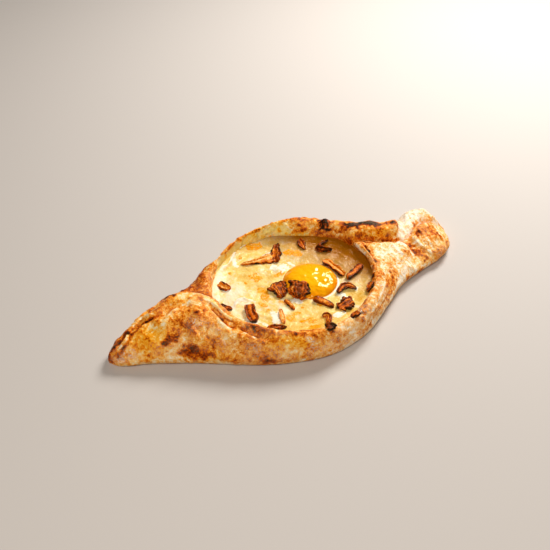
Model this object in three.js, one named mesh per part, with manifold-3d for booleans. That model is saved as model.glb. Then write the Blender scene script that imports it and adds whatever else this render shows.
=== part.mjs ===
// Khachapuri in the Adjarian style: an open boat of baked dough filled with melted cheese,
// one egg yolk and fried pieces of mushroom.
// Millimetres, +Z up. x runs along the boat from the pointed tail (-x) to the blunt tail (+x),
// y runs from the low side of the boat (-y) to the high side (+y), and z = 0 is the underside.
// Plan coordinates below are measured from a point between the two tails. The group is moved by
// MIDDLE at the end, so that the origin is the middle of the underside's bounding box.
import * as THREE from 'three';
import Module from 'manifold-3d';

const wasm = await Module();
wasm.setup();

const GAP = 0.35;                       // clearance between two pieces that touch
const MIDDLE = { x: -1.85, y: -7.73 };   // middle of the bread's bounding box in plan

// ---------------------------------------------------------------- the dough, driving dimensions
// Everything runs on one parameter u: 0 at the pointed tail, 1 at the blunt tail.
const U_OPEN = 0.28;                    // left corner of the mouth
const U_SHUT = 0.74;                    // right corner of the mouth, where the roll starts
const OPEN_ANGLE = 180;                 // the same two corners as angles on the mouth's outline
const SHUT_ANGLE = 20.5;
const MOUTH = { x: -3, y: -5, halfLength: 60, halfWidth: 53, power: 1.85 };
const MOUTH_CORNER = { angle: 32, spread: 16, bulge: 3.5 };   // outline pushed out under the roll
const FLOOR = 7;                        // top of the dough under the filling
const FLOOR_INSET = 5;                  // fillet between the floor and the inner wall
const WALL_LEVEL = 14;                  // height at which UNDERCUT is measured
const GROOVE = 7;                       // depth of the seam between the two flaps
// radius of the lower edge, and its largest share of the crest height and of the width
const FOOT_ROUND = { radius: 7, ofCrest: 0.36, ofWidth: 0.45 };
const SMOOTHING = 0.006;                // the sections are averaged over four of these steps
// how the sections change at the two corners: where each change starts and ends, from the corner's u
const MOUTH_OPENS = [-0.008, 0.004];
const MOUTH_SHUTS = [-0.002, 0.010];
const RIM_BEGINS = [-0.10, 0.06];
const RIM_ENDS = [-0.12, 0.06];
const SEAM_WIDTH = { least: 0.02, most: 0.5, growth: 4 };   // half the way between the closed flaps' edges
const SEAM_TAPER = 0.06;                // share of the length over which the seam deepens from a tip

// foot of the low (near) side and of the high (far) side: u, x, y
const NEAR_FOOT = [[0, -143, -9], [0.04, -136, -18], [0.12, -118, -25.5], [0.22, -92, -37.5],
  [0.34, -55, -57], [0.44, -25, -67.5], [0.52, 2, -69], [0.60, 28, -61.5], [0.68, 52.5, -45.5],
  [0.76, 76, -30], [0.84, 101, -21], [0.92, 122.5, -14], [0.965, 133.5, -6], [1, 138.5, 8]];
const FAR_FOOT = [[0, -143, -9], [0.04, -138.5, -2], [0.12, -120, 8], [0.22, -92, 18],
  [0.30, -67, 28], [0.36, -46, 35.5], [0.44, -20, 47.5], [0.52, 8, 53.5], [0.60, 36, 52],
  [0.68, 60, 41], [0.76, 82, 32.5], [0.835, 101, 30], [0.868, 110, 35], [0.90, 118, 40.5],
  [0.955, 136.5, 37], [1, 138.5, 8]];
// seam between the flaps on each tail: u, x, y
const LEFT_SEAM = [[0, -142, -8.5], [0.035, -135, -9.5], [0.08, -124, -4], [0.14, -108, 4],
  [0.20, -88, 12], [0.25, -73, 6], [0.28, -64, -4]];
const RIGHT_SEAM = [[0.74, 56, 13], [0.77, 64, 10], [0.80, 74, 6], [0.83, 84, 3.5],
  [0.86, 93, 2.8], [0.88, 99, 3.5], [0.90, 106, 7], [0.925, 114, 12.5], [0.95, 122, 15],
  [0.975, 130, 12], [1, 138.5, 8]];
// crest heights of the two flaps: u, z
const NEAR_CREST = [[0, 7], [0.03, 12], [0.10, 19], [0.18, 26], [0.26, 28], [0.34, 25],
  [0.44, 22], [0.54, 20], [0.64, 21], [0.74, 23], [0.80, 21], [0.86, 17], [0.91, 19],
  [0.96, 16], [1, 8]];
const FAR_CREST = [[0, 7], [0.03, 11], [0.10, 17], [0.18, 20], [0.26, 22], [0.34, 26],
  [0.44, 27.5], [0.54, 28.5], [0.60, 28], [0.66, 25.5], [0.76, 28.5], [0.842, 26.5],
  [0.868, 18], [0.90, 19.5], [0.94, 20.5], [0.97, 17], [1, 8]];
// how far along the mouth's outline each lip has come, between the two corners: share, share
const NEAR_LIP_PACE = [[0, 0], [0.12, 0.13], [0.5, 0.47], [0.8, 0.78], [1, 1]];
const FAR_LIP_PACE = [[0, 0], [0.12, 0.16], [0.5, 0.52], [1, 1]];
// how far the inner wall stands outside the lip: angle on the mouth's outline, mm
const UNDERCUT = [[0, 3.5], [20, 1], [40, 0], [60, -1], [90, -1.5], [150, -1.5], [180, 0],
  [200, 1.5], [270, 2], [330, 4], [360, 3.5]];
// profiles from foot to lip: share of the width, share of the crest height
const NEAR_RIM = [[0.05, 0.60], [0.24, 0.88], [0.52, 1], [0.80, 0.98], [1, 0.84]];
const FAR_RIM = [[0.02, 0.62], [0.20, 0.90], [0.50, 1], [0.80, 0.90], [1, 0.72]];
const NEAR_FLAP = [[0.06, 0.50], [0.28, 0.73], [0.60, 0.93], [0.86, 1], [1, 0.88]];
const FAR_FLAP = [[0.08, 0.52], [0.32, 0.80], [0.58, 0.97], [0.80, 1], [0.985, 0.82]];

// creases pressed into the dough from above, and ridges (negative depth): mm
const CREASES = [
  { name: 'rolled edge of the low rim', width: 3.6, depth: 2.6,
    path: [[-74, -4], [-69, -20], [-62, -37], [-51, -49], [-38, -57]] },
  { name: 'neck of the blunt tail', width: 4.5, depth: 2.6,
    path: [[98, 5], [97, -6], [93, -16], [86, -23]] },
  { name: 'ridge of the pointed tail', width: 6, depth: -2.2,
    path: [[-112, -13], [-98, -12], [-84, -15], [-76, -18]] },
  { name: 'hollow behind that ridge', width: 4, depth: 1.6,
    path: [[-106, -5], [-92, -3], [-80, -7]] },
];
// blisters and knobs on the crust: x, y, radius, height
const BLISTERS = [[76, 25, 6, 1.6], [93, 15, 5, 1.2], [22, 41, 6, 1.5], [-34, 36, 6, 1.2],
  [-8, -64, 7, 1.2], [34, -50, 7, 1.3], [66, -22, 8, 1.2], [-88, -30, 9, 1.4],
  [-112, -20, 7, 1.2], [116, 30, 7, 1.2], [118, -6, 7, 1.2]];

const BREAD_STATIONS = 70;
const STEPS_PER_RAIL = 2;

// ---------------------------------------------------------------- the filling
const CHEESE = { level: 15.3, bottom: 8.6, meniscus: 1, wallGap: 0.8, around: 48, rings: 9 };
// swells and dips of the melted cheese: x, y, radius, height
const SWELLS = [[-46, 2, 13, 1.5], [-22, 22, 15, 1.3], [-38, -26, 10, -0.8], [-6, 10, 9, 1],
  [2, -38, 12, 0.8], [34, -24, 9, 0.8], [40, 4, 14, -0.8], [-28, -38, 8, 0.9], [14, 30, 9, 0.7]];
const YOLK = { x: 8.6, y: -9, radius: 19.4, below: 2.4, above: 6.2, around: 26, rings: 9,
  oval: 0.02, ovalTurn: 0.6, shoulder: 0.8 };

// Mushroom pieces: each is a slice that follows an arc through its plan points.
// width: mm at the start, middle and end; curl: how far its long edges are raised;
// roll: degrees about its own length; lift: height of its middle line over the cheese at the
// start, middle and end.
const MUSHROOMS = [
  { name: 'mushroom_cap_upright', path: [[4.2, 37.5], [-0.2, 29], [-4, 20]],
    width: [5.5, 7.5, 6], thick: 3.2, curl: 0.8, roll: 24, lift: [2.6, 1.6, 1.4] },
  { name: 'mushroom_long_stem', path: [[-29.4, 29.2], [-18, 26.4], [-5.8, 25.2]],
    width: [1.8, 5, 10], thick: 2.4, curl: 0.5, roll: 8, lift: [0.3, 0.8, 1.4] },
  { name: 'mushroom_by_high_wall', path: [[23, 36.5], [22.3, 30.5], [21.8, 25]],
    width: [4, 5, 3.6], thick: 2.8, curl: 0.6, roll: 15, lift: [1.4, 1, 0.6] },
  { name: 'mushroom_hook', path: [[42.4, 26.2], [31.8, 22.2], [40.4, 15.6]],
    width: [3.4, 5, 4.8], thick: 2.4, curl: 0, roll: 56, lift: [1.4, 1.4, 1.6] },
  { name: 'mushroom_gutter', path: [[28.2, 6.6], [31.2, -4.6], [33.4, -14.4]],
    width: [8.2, 6.8, 5.2], thick: 2.4, curl: 1.3, roll: -8, lift: [2.2, 1.9, 1.2] },
  { name: 'mushroom_roll', path: [[50.5, -10.6], [41.8, -15], [33.2, -19.4]],
    width: [4.6, 4.6, 4.2], thick: 3.4, curl: 0.8, roll: 10, lift: [2.2, 1.8, 1.3] },
  { name: 'mushroom_fork', path: [[20.5, -29.6], [28.2, -26], [33.4, -31.6]],
    width: [4.8, 5, 3], thick: 2.4, curl: 0.4, roll: 8, lift: [1, 1.5, 0.9] },
  { name: 'mushroom_stick', path: [[1, -28.4], [6.2, -34.6], [10.4, -41]],
    width: [4.4, 5, 3.6], thick: 3.4, curl: 0.3, roll: 12, lift: [1.6, 1.5, 0.9] },
  { name: 'mushroom_frill', path: [[12.3, -44], [18.5, -42.8], [25, -41.2]],
    width: [6, 10, 11], thick: 2.6, curl: 0.9, roll: 6, lift: [1, 1.5, 1.9] },
  { name: 'mushroom_fan_left', path: [[-16.7, -16.2], [-15.8, -8.8], [-14.6, -2.2]],
    width: [5, 11.4, 13], thick: 2.4, curl: -0.5, roll: -10, lift: [1.1, 1.9, 2.4] },
  { name: 'mushroom_fan_dark', path: [[-8, -23.6], [-4.7, -18.1], [-1.9, -13.4]],
    width: [9.6, 12.6, 11.6], thick: 2.4, curl: -0.6, roll: 8, lift: [1.9, 5.2, 7.6] },
  { name: 'mushroom_thin_stem', path: [[-16.7, -19], [-16, -24.6], [-15.3, -31.3]],
    width: [2.6, 3.2, 2.6], thick: 2.2, curl: 0, roll: 0, lift: [0.7, 0.9, 0.7] },
  { name: 'mushroom_thick_roll', path: [[-41.6, -15], [-44.2, -22.6], [-44.4, -31]],
    width: [7, 8, 6.8], thick: 4, curl: 1.6, roll: 14, lift: [2, 2.2, 1.8] },
  { name: 'mushroom_pale_fan', path: [[-52.6, 14.6], [-50.6, 10.6], [-48, 6.2]],
    width: [5, 7, 6.4], thick: 2.2, curl: 0.4, roll: 18, lift: [1.4, 1, 0.6] },
  { name: 'mushroom_under_low_rim', path: [[-60.5, -5.8], [-57.5, -10], [-53.7, -12.5]],
    width: [3, 4, 3], thick: 2.2, curl: 0.2, roll: 10, lift: [0.9, 0.9, 0.7] },
  { name: 'mushroom_curl', path: [[-1.1, -45.6], [2.1, -48], [-1.8, -55]],
    width: [3, 3.8, 4], thick: 2.4, curl: 0, roll: 30, lift: [1, 1.8, 1.6] },
  { name: 'mushroom_on_low_rim', path: [[-6.9, -61], [-4.6, -62.6], [-1.9, -64]],
    width: [5, 6.6, 5], thick: 2.2, curl: 0.3, roll: 0, lift: [4.1, 4.9, 4.9] },
  { name: 'mushroom_at_low_lip', path: [[-39.6, -40.8], [-34.8, -42.6], [-29.1, -45.3]],
    width: [3, 4.4, 3], thick: 2.2, curl: 0.3, roll: 20, lift: [1.6, 1.8, 1.6] },
  { name: 'mushroom_at_right_lip', path: [[38.6, -38.6], [42.4, -35.6], [46, -31.8]],
    width: [3.6, 5, 4], thick: 2.2, curl: 0.3, roll: -26, lift: [2, 2.6, 2.8] },
  { name: 'mushroom_below_right_lip', path: [[14.1, -57.4], [17.2, -57.6], [20.8, -57.8]],
    width: [4, 5, 4], thick: 2.2, curl: 0.3, roll: -10, lift: [2.8, 3.8, 4.8] },
  { name: 'mushroom_sunk_stem', path: [[-23.7, -26.5], [-26.4, -34.6], [-28.3, -41.4]],
    width: [2.4, 3.8, 3.2], thick: 2.2, curl: 0, roll: 0, lift: [0.5, 0.6, 0.4] },
];
const SLICE = { around: 8, squareness: 3, endScale: 0.72, shares: [0, 0.1, 0.3, 0.5, 0.7, 0.9, 1] };

// ---------------------------------------------------------------- small maths
const radians = (degrees) => degrees * Math.PI / 180;
const clamp = (value, low, high) => Math.min(high, Math.max(low, value));
const mix = (a, b, share) => a.map((value, i) => value + (b[i] - value) * share);
const distance = (a, b) => Math.hypot(...a.map((value, i) => value - b[i]));

function smooth(low, high, value) {
  const share = clamp((value - low) / (high - low), 0, 1);
  return share * share * (3 - 2 * share);
}

// Cubic between two values with the given slopes, at share s.
function hermite(s, from, fromSlope, to, toSlope) {
  return (2 * s ** 3 - 3 * s ** 2 + 1) * from + (s ** 3 - 2 * s ** 2 + s) * fromSlope
    + (3 * s ** 2 - 2 * s ** 3) * to + (s ** 3 - s ** 2) * toSlope;
}

// Cubic through keys [u, value, ...], with tangents from the neighbouring keys.
function along(keys, u) {
  const last = keys.length - 1;
  const at = clamp(u, keys[0][0], keys[last][0]);
  let i = 0;
  while (i < last - 1 && keys[i + 1][0] <= at) i += 1;
  const slope = (j, c) => {
    const before = keys[Math.max(0, j - 1)];
    const after = keys[Math.min(last, j + 1)];
    return (after[c] - before[c]) / (after[0] - before[0]);
  };
  const span = keys[i + 1][0] - keys[i][0];
  const s = (at - keys[i][0]) / span;
  const values = [];
  for (let c = 1; c < keys[0].length; c += 1) {
    values.push(hermite(s, keys[i][c], span * slope(i, c), keys[i + 1][c], span * slope(i + 1, c)));
  }
  return values.length === 1 ? values[0] : values;
}

// Distance from a plan point to a polyline, and how far along it the nearest point lies (0..1).
function nearestOn(path, x, y) {
  let best = { distance: Infinity, share: 0 };
  for (let i = 0; i < path.length - 1; i += 1) {
    const [ax, ay] = path[i];
    const [bx, by] = path[i + 1];
    const length2 = (bx - ax) ** 2 + (by - ay) ** 2;
    const t = clamp(((x - ax) * (bx - ax) + (y - ay) * (by - ay)) / length2, 0, 1);
    const away = Math.hypot(x - ax - t * (bx - ax), y - ay - t * (by - ay));
    if (away < best.distance) best = { distance: away, share: (i + t) / (path.length - 1) };
  }
  return best;
}

// ---------------------------------------------------------------- the mouth and the cross-section
// Point on the mouth's outline, a superellipse, at an angle in degrees; grow pushes it out.
function mouth(angle, grow = 0) {
  const c = Math.cos(radians(angle));
  const s = Math.sin(radians(angle));
  const k = 2 / MOUTH.power;
  const turn = ((angle % 360) + 360) % 360;
  const corner = ((turn - MOUTH_CORNER.angle) / MOUTH_CORNER.spread) ** 2;
  const out = grow + MOUTH_CORNER.bulge * Math.exp(-corner);
  return [MOUTH.x + (MOUTH.halfLength + out) * Math.sign(c) * Math.abs(c) ** k,
    MOUTH.y + (MOUTH.halfWidth + out) * Math.sign(s) * Math.abs(s) ** k];
}

const undercut = (angle) => along(UNDERCUT, ((angle % 360) + 360) % 360);

// One side of a section: from the underside round the foot, up the wall and over the crest to the lip.
function sideRails(foot, lip, crest, flap, rim, rimShare) {
  const width = distance(foot, lip);
  const inward = width > 1e-6 ? [(lip[0] - foot[0]) / width, (lip[1] - foot[1]) / width] : [0, 0];
  const round = Math.min(FOOT_ROUND.radius, FOOT_ROUND.ofCrest * crest, FOOT_ROUND.ofWidth * width + 0.2);
  const inside = (reach) => [foot[0] + inward[0] * reach, foot[1] + inward[1] * reach];
  const arc = 1 - Math.SQRT1_2;
  const rails = [
    [...inside(Math.min(1.6 * round, 0.5 * width)), 0],
    [...inside(round * arc), round * arc],
    [...foot, round],
  ];
  for (let i = 0; i < rim.length; i += 1) {
    const [across, up] = mix(flap[i], rim[i], rimShare);
    rails.push([...inside(across * width), up * crest]);
  }
  return rails;
}

// The closed section at u as a ring of rails.
function rawSection(u) {
  const near = along(NEAR_FOOT, u);
  const far = along(FAR_FOOT, u);
  const nearCrest = along(NEAR_CREST, u);
  const farCrest = along(FAR_CREST, u);
  const q = clamp((u - U_OPEN) / (U_SHUT - U_OPEN), 0, 1);
  const nearAngle = OPEN_ANGLE + (360 + SHUT_ANGLE - OPEN_ANGLE) * along(NEAR_LIP_PACE, q);
  const farAngle = OPEN_ANGLE - (OPEN_ANGLE - SHUT_ANGLE) * along(FAR_LIP_PACE, q);
  let lips = [mouth(nearAngle), mouth(farAngle)];
  let walls = [mouth(nearAngle, undercut(nearAngle)), mouth(farAngle, undercut(farAngle))];
  const inset = Math.min(FLOOR_INSET, 0.3 * distance(...walls));
  let floors = [nearAngle, farAngle].map((angle) => mouth(angle, undercut(angle) - inset));
  if (u < U_OPEN || u > U_SHUT) {
    const seam = along(u < U_OPEN ? LEFT_SEAM : RIGHT_SEAM, u);
    const wide = distance(near, far) + 1e-9;
    const toFar = [(far[0] - near[0]) / wide, (far[1] - near[1]) / wide];
    const half = Math.min(SEAM_WIDTH.most, SEAM_WIDTH.least + SEAM_WIDTH.growth * Math.min(u, 1 - u));
    const beside = (reach) => seam.map((value, c) => value + reach * half * toFar[c]);
    const pair = (share) => [beside(-share), beside(share)];
    lips = pair(1);
    walls = pair(0.7);
    floors = pair(0.5);
  }
  const past = (corner, [from, to]) => smooth(corner + from, corner + to, u);
  const open = past(U_OPEN, MOUTH_OPENS) * (1 - past(U_SHUT, MOUTH_SHUTS));
  const rimShare = past(U_OPEN, RIM_BEGINS) * (1 - past(U_SHUT, RIM_ENDS));
  const groove = GROOVE * Math.min(1, Math.min(u, 1 - u) / SEAM_TAPER);
  const low = Math.min(nearCrest, farCrest);
  const wallZ = (low - 0.55 * groove) * (1 - open) + WALL_LEVEL * open;
  const floorZ = (low - groove) * (1 - open) + (FLOOR + 1) * open;
  const middleZ = (low - groove - 0.3) * (1 - open) + FLOOR * open;
  const nearRails = [
    ...sideRails(near, lips[0], nearCrest, NEAR_FLAP, NEAR_RIM, rimShare),
    [...walls[0], wallZ], [...floors[0], floorZ],
  ];
  const farRails = [
    ...sideRails(far, lips[1], farCrest, FAR_FLAP, FAR_RIM, rimShare),
    [...walls[1], wallZ], [...floors[1], floorZ],
  ];
  const underside = [...mix(near, far, 0.5), 0];
  const floorMiddle = [...mix(...floors, 0.5), middleZ];
  return [underside, ...nearRails, floorMiddle, ...farRails.reverse()];
}

// Sections averaged over five neighbours with binomial weights, which rounds off sudden turns.
function section(u) {
  const weights = [1, 4, 6, 4, 1];
  const total = weights.reduce((sum, w) => sum + w, 0);
  const rings = weights.map((_, i) => rawSection(clamp(u + (i - 2) * SMOOTHING, 0, 1)));
  const average = (r, c) => weights.reduce((sum, w, i) => sum + w * rings[i][r][c], 0) / total;
  return rings[0].map((_, r) => [0, 1, 2].map((c) => average(r, c)));
}

// Closed curve through the rails, with tangents weighted by the chord lengths.
function closedSpline(points, steps) {
  const count = points.length;
  const at = (i) => points[(i + count) % count];
  const chord = (i) => distance(at(i), at(i + 1)) + 1e-6;
  const tangent = (i) => at(i).map((value, c) => {
    const ahead = (at(i + 1)[c] - value) / chord(i) * chord(i - 1);
    const behind = (value - at(i - 1)[c]) / chord(i - 1) * chord(i);
    return (ahead + behind) / (chord(i) + chord(i - 1));
  });
  const curve = [];
  for (let i = 0; i < count; i += 1) {
    const [from, to] = [tangent(i), tangent(i + 1)].map((slope) => slope.map((value) => value * chord(i)));
    const ahead = at(i + 1);
    for (let step = 0; step < steps; step += 1) {
      curve.push(at(i).map((value, c) => hermite(step / steps, value, from[c], ahead[c], to[c])));
    }
  }
  return curve;
}

// Values of u, closer together at the tips and at the mouth's corners.
function stations(count) {
  const keys = [0, 0.03, 0.10, U_OPEN - 0.012, U_OPEN + 0.03, 0.5, U_SHUT - 0.05, U_SHUT + 0.012,
    0.83, 0.88, 0.96, 1];
  const shares = [3, 4, 8, 4, 12, 12, 7, 5, 5, 6, 4];
  const total = shares.reduce((sum, share) => sum + share, 0);
  const values = shares.flatMap((share, i) => {
    const steps = Math.max(1, Math.round(count * share / total));
    return Array.from({ length: steps }, (_, step) => keys[i] + (keys[i + 1] - keys[i]) * step / steps);
  });
  return [...values, 1];
}

// Height that creases and blisters add to the top of the dough.
function relief(x, y) {
  let height = 0;
  for (const crease of CREASES) {
    const near = nearestOn(crease.path, x, y);
    const fade = smooth(0, 0.2, near.share) * smooth(0, 0.2, 1 - near.share);
    height -= crease.depth * fade * Math.exp(-((near.distance / crease.width) ** 2));
  }
  for (const [bx, by, radius, rise] of BLISTERS) {
    height += rise * Math.exp(-((x - bx) ** 2 + (y - by) ** 2) / radius ** 2);
  }
  return height;
}

// ---------------------------------------------------------------- closed solids
// Closed mesh from rings of points; the ends close in the middle of the first and last ring.
function solidFromRings(rings) {
  const around = rings[0].length;
  const middle = (ring) => [0, 1, 2].map((c) => ring.reduce((sum, p) => sum + p[c], 0) / around);
  const points = [middle(rings[0]), ...rings.flat(), middle(rings[rings.length - 1])];
  const index = (r, i) => 1 + r * around + (i % around);
  const faces = [];
  for (let i = 0; i < around; i += 1) {
    faces.push([0, index(0, i + 1), index(0, i)]);
    faces.push([points.length - 1, index(rings.length - 1, i), index(rings.length - 1, i + 1)]);
    for (let r = 0; r < rings.length - 1; r += 1) {
      faces.push([index(r, i), index(r, i + 1), index(r + 1, i + 1)]);
      faces.push([index(r, i), index(r + 1, i + 1), index(r + 1, i)]);
    }
  }
  const volume = faces.reduce((sum, [a, b, c]) => {
    const [p, q, r] = [points[a], points[b], points[c]];
    return sum + p[0] * (q[1] * r[2] - q[2] * r[1]) + p[1] * (q[2] * r[0] - q[0] * r[2])
      + p[2] * (q[0] * r[1] - q[1] * r[0]);
  }, 0);
  if (volume < 0) faces.forEach((face) => face.reverse());
  return new wasm.Manifold(new wasm.Mesh({
    numProp: 3,
    vertProperties: new Float32Array(points.flat()),
    triVerts: new Uint32Array(faces.flat()),
  }));
}

function bread() {
  const rings = stations(BREAD_STATIONS).slice(1, -1).map((u) => closedSpline(section(u), STEPS_PER_RAIL));
  const half = rings[0].length / 2;
  const [firstTop, lastTop] = [4 * STEPS_PER_RAIL, 9 * STEPS_PER_RAIL];
  return solidFromRings(rings.map((ring) => ring.map(([x, y, z], i) => {
    const place = Math.min(i, 2 * half - i);
    const onTop = smooth(firstTop - 3, firstTop + 1, place) * (1 - smooth(lastTop - 3, lastTop, place));
    return [x, y, Math.max(0, z + onTop * relief(x, y))];
  })));
}

// Height of the melted cheese.
function cheeseTop(x, y) {
  const radius = (Math.abs((x - MOUTH.x) / MOUTH.halfLength) ** MOUTH.power
    + Math.abs((y - MOUTH.y) / MOUTH.halfWidth) ** MOUTH.power) ** (1 / MOUTH.power);
  let height = CHEESE.level + CHEESE.meniscus * smooth(0.84, 1, radius);
  for (const [sx, sy, reach, rise] of SWELLS) {
    height += rise * Math.exp(-((x - sx) ** 2 + (y - sy) ** 2) / reach ** 2);
  }
  return height;
}

// The filling follows the inner wall, a little clear of it, under a top of concentric rings.
function cheese() {
  const angles = Array.from({ length: CHEESE.around }, (_, i) => 360 * i / CHEESE.around);
  const edge = (reach) => angles.map((angle) => mouth(angle, reach(undercut(angle)) - CHEESE.wallGap));
  const floorEdge = edge((wallOut) => wallOut - FLOOR_INSET).map((p) => [...p, CHEESE.bottom]);
  const wall = edge((wallOut) => wallOut).map((p) => [...p, WALL_LEVEL]);
  const lip = edge((wallOut) => Math.min(wallOut / 2, 0)).map(([x, y]) => [x, y, cheeseTop(x, y)]);
  const rings = [floorEdge, wall, lip];
  for (let r = 1; r < CHEESE.rings; r += 1) {
    const share = 1 - r / CHEESE.rings;
    rings.push(lip.map(([x, y]) => {
      const [px, py] = [MOUTH.x + (x - MOUTH.x) * share, MOUTH.y + (y - MOUTH.y) * share];
      return [px, py, cheeseTop(px, py)];
    }));
  }
  return solidFromRings(rings);
}

// A flattened dome, a little oval, sunk into the cheese.
function yolk(grow = 0) {
  const base = cheeseTop(YOLK.x, YOLK.y);
  const rings = Array.from({ length: YOLK.rings }, (_, r) => {
    const tilt = Math.PI * (r + 0.5) / YOLK.rings - Math.PI / 2;
    const up = Math.sin(tilt) > 0 ? YOLK.above : YOLK.below;
    return Array.from({ length: YOLK.around }, (__, i) => {
      const turn = 2 * Math.PI * i / YOLK.around;
      const oval = YOLK.radius * (1 + YOLK.oval * Math.cos(2 * turn + YOLK.ovalTurn));
      const radius = (oval + grow) * Math.cos(tilt) ** YOLK.shoulder;
      const z = base + (up + grow) * Math.sin(tilt);
      return [YOLK.x + radius * Math.cos(turn), YOLK.y + radius * Math.sin(turn), z];
    });
  });
  return solidFromRings(rings);
}

// A slice of mushroom along the arc through its three plan points.
function slice(piece, grow = 0) {
  const [start, middle, end] = piece.path;
  const bend = middle.map((value, c) => 2 * value - (start[c] + end[c]) / 2);
  const arc = (s, c) => (1 - s) ** 2 * start[c] + 2 * s * (1 - s) * bend[c] + s ** 2 * end[c];
  const point = (s) => [arc(s, 0), arc(s, 1)];
  const heading = (s) => {
    const d = [0, 1].map((c) => (1 - s) * (bend[c] - start[c]) + s * (end[c] - bend[c]));
    const length = Math.hypot(...d);
    return [d[0] / length, d[1] / length];
  };
  const keyed = (values, s) => along([[0, values[0]], [0.5, values[1]], [1, values[2]]], s);
  const roll = radians(piece.roll);
  const rings = SLICE.shares.map((s, r) => {
    const atEnd = r === 0 || r === SLICE.shares.length - 1;
    const scale = atEnd ? SLICE.endScale : 1;
    const [dx, dy] = heading(s);
    const outward = (s < 0.5 ? -1 : 1) * (atEnd ? grow : 0);
    const [cx, cy] = [point(s)[0] + dx * outward, point(s)[1] + dy * outward];
    const halfWidth = scale * keyed(piece.width, s) / 2 + grow;
    const halfThick = scale * piece.thick / 2 + grow;
    const centreZ = cheeseTop(cx, cy) + keyed(piece.lift, s);
    return Array.from({ length: SLICE.around }, (_, i) => {
      const turn = 2 * Math.PI * (i + 0.5) / SLICE.around;
      const power = (v) => Math.sign(v) * Math.abs(v) ** (2 / SLICE.squareness);
      const across = power(Math.cos(turn)) * halfWidth;
      const up = power(Math.sin(turn)) * halfThick + piece.curl * (power(Math.cos(turn)) ** 2 - 0.5);
      const side = across * Math.cos(roll) - up * Math.sin(roll);
      return [cx - dy * side, cy + dx * side, centreZ + across * Math.sin(roll) + up * Math.cos(roll)];
    });
  });
  return solidFromRings(rings);
}

// ---------------------------------------------------------------- assembly
const touches = (a, b) => [0, 1, 2].every((c) => a.min[c] < b.max[c] && b.min[c] < a.max[c]);

// Cuts solid by every tool whose box meets it.
function cutBy(solid, tools) {
  const box = solid.boundingBox();
  return tools.filter((tool) => touches(box, tool.boundingBox()))
    .reduce((rest, tool) => rest.subtract(tool), solid);
}

function meshNode(name, solid, material) {
  const { vertProperties, triVerts } = solid.getMesh();
  const geometry = new THREE.BufferGeometry();
  geometry.setAttribute('position', new THREE.BufferAttribute(new Float32Array(vertProperties), 3));
  geometry.setIndex(new THREE.BufferAttribute(new Uint32Array(triVerts), 1));
  geometry.computeVertexNormals();
  const mesh = new THREE.Mesh(geometry, material);
  mesh.name = name;
  return mesh;
}

const finish = (color, roughness) => new THREE.MeshStandardMaterial({ color, roughness, metalness: 0 });
const khachapuri = new THREE.Group();
khachapuri.position.set(-MIDDLE.x, -MIDDLE.y, 0);

const grownSlices = MUSHROOMS.map((piece) => slice(piece, GAP));
const toppingTools = [yolk(GAP), ...grownSlices];
khachapuri.add(meshNode('bread', cutBy(bread(), grownSlices), finish(0xc98a4b, 0.75)));
khachapuri.add(meshNode('cheese', cutBy(cheese(), toppingTools), finish(0xf2d58a, 0.4)));
khachapuri.add(meshNode('yolk', cutBy(yolk(), grownSlices), finish(0xf7a812, 0.2)));
MUSHROOMS.forEach((piece, i) => {
  const solid = cutBy(slice(piece), grownSlices.slice(0, i));
  khachapuri.add(meshNode(piece.name, solid, finish(0x7a3d18, 0.45)));
});

export default khachapuri;
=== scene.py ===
"""Khachapuri in the Adjarian style: a boat of baked dough round melted cheese, a yolk and fried mushroom.

Every piece is a surface worked out with numpy on a grid, in millimetres, from the same driving sizes
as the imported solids. x runs from the pointed tail to the blunt tail, y from the low side of the boat
to the high side, z up. put_mesh moves plan coordinates by MIDDLE and turns millimetres into metres.
"""

import bpy
import numpy as np
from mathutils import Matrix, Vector


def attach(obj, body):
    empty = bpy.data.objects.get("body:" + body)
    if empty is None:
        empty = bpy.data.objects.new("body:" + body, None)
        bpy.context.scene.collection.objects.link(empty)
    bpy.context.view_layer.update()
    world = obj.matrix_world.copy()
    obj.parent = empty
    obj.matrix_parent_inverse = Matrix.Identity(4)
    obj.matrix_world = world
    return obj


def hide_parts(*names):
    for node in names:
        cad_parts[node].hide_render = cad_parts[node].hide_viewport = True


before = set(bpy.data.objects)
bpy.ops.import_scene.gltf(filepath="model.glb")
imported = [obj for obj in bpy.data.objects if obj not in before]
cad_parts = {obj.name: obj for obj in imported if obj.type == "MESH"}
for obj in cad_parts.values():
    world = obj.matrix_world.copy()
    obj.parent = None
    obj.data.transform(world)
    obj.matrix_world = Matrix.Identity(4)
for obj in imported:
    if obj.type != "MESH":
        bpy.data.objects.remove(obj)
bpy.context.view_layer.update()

MM = 0.001
MIDDLE = np.array((-1.85, -7.73, 0.0))   # the model's origin, measured from between the two tails

# ------------------------------------------------------------------ driving sizes of the dough
U_OPEN, U_SHUT = 0.28, 0.74             # corners of the mouth, as shares of the boat's length
OPEN_ANGLE, SHUT_ANGLE = 180.0, 20.5    # the same corners as angles on the mouth's outline
MOUTH_X, MOUTH_Y = -3.0, -5.0
MOUTH_HALF_LENGTH, MOUTH_HALF_WIDTH, MOUTH_POWER = 60.0, 53.0, 1.85
CORNER_ANGLE, CORNER_SPREAD, CORNER_BULGE = 32.0, 16.0, 3.5
FLOOR_LEVEL, FLOOR_INSET = 7.0, 5.0
WALL_LEVEL = 14.0
GROOVE = 7.0
FOOT_ROUND = 7.0
SMOOTHING = 0.006

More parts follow.
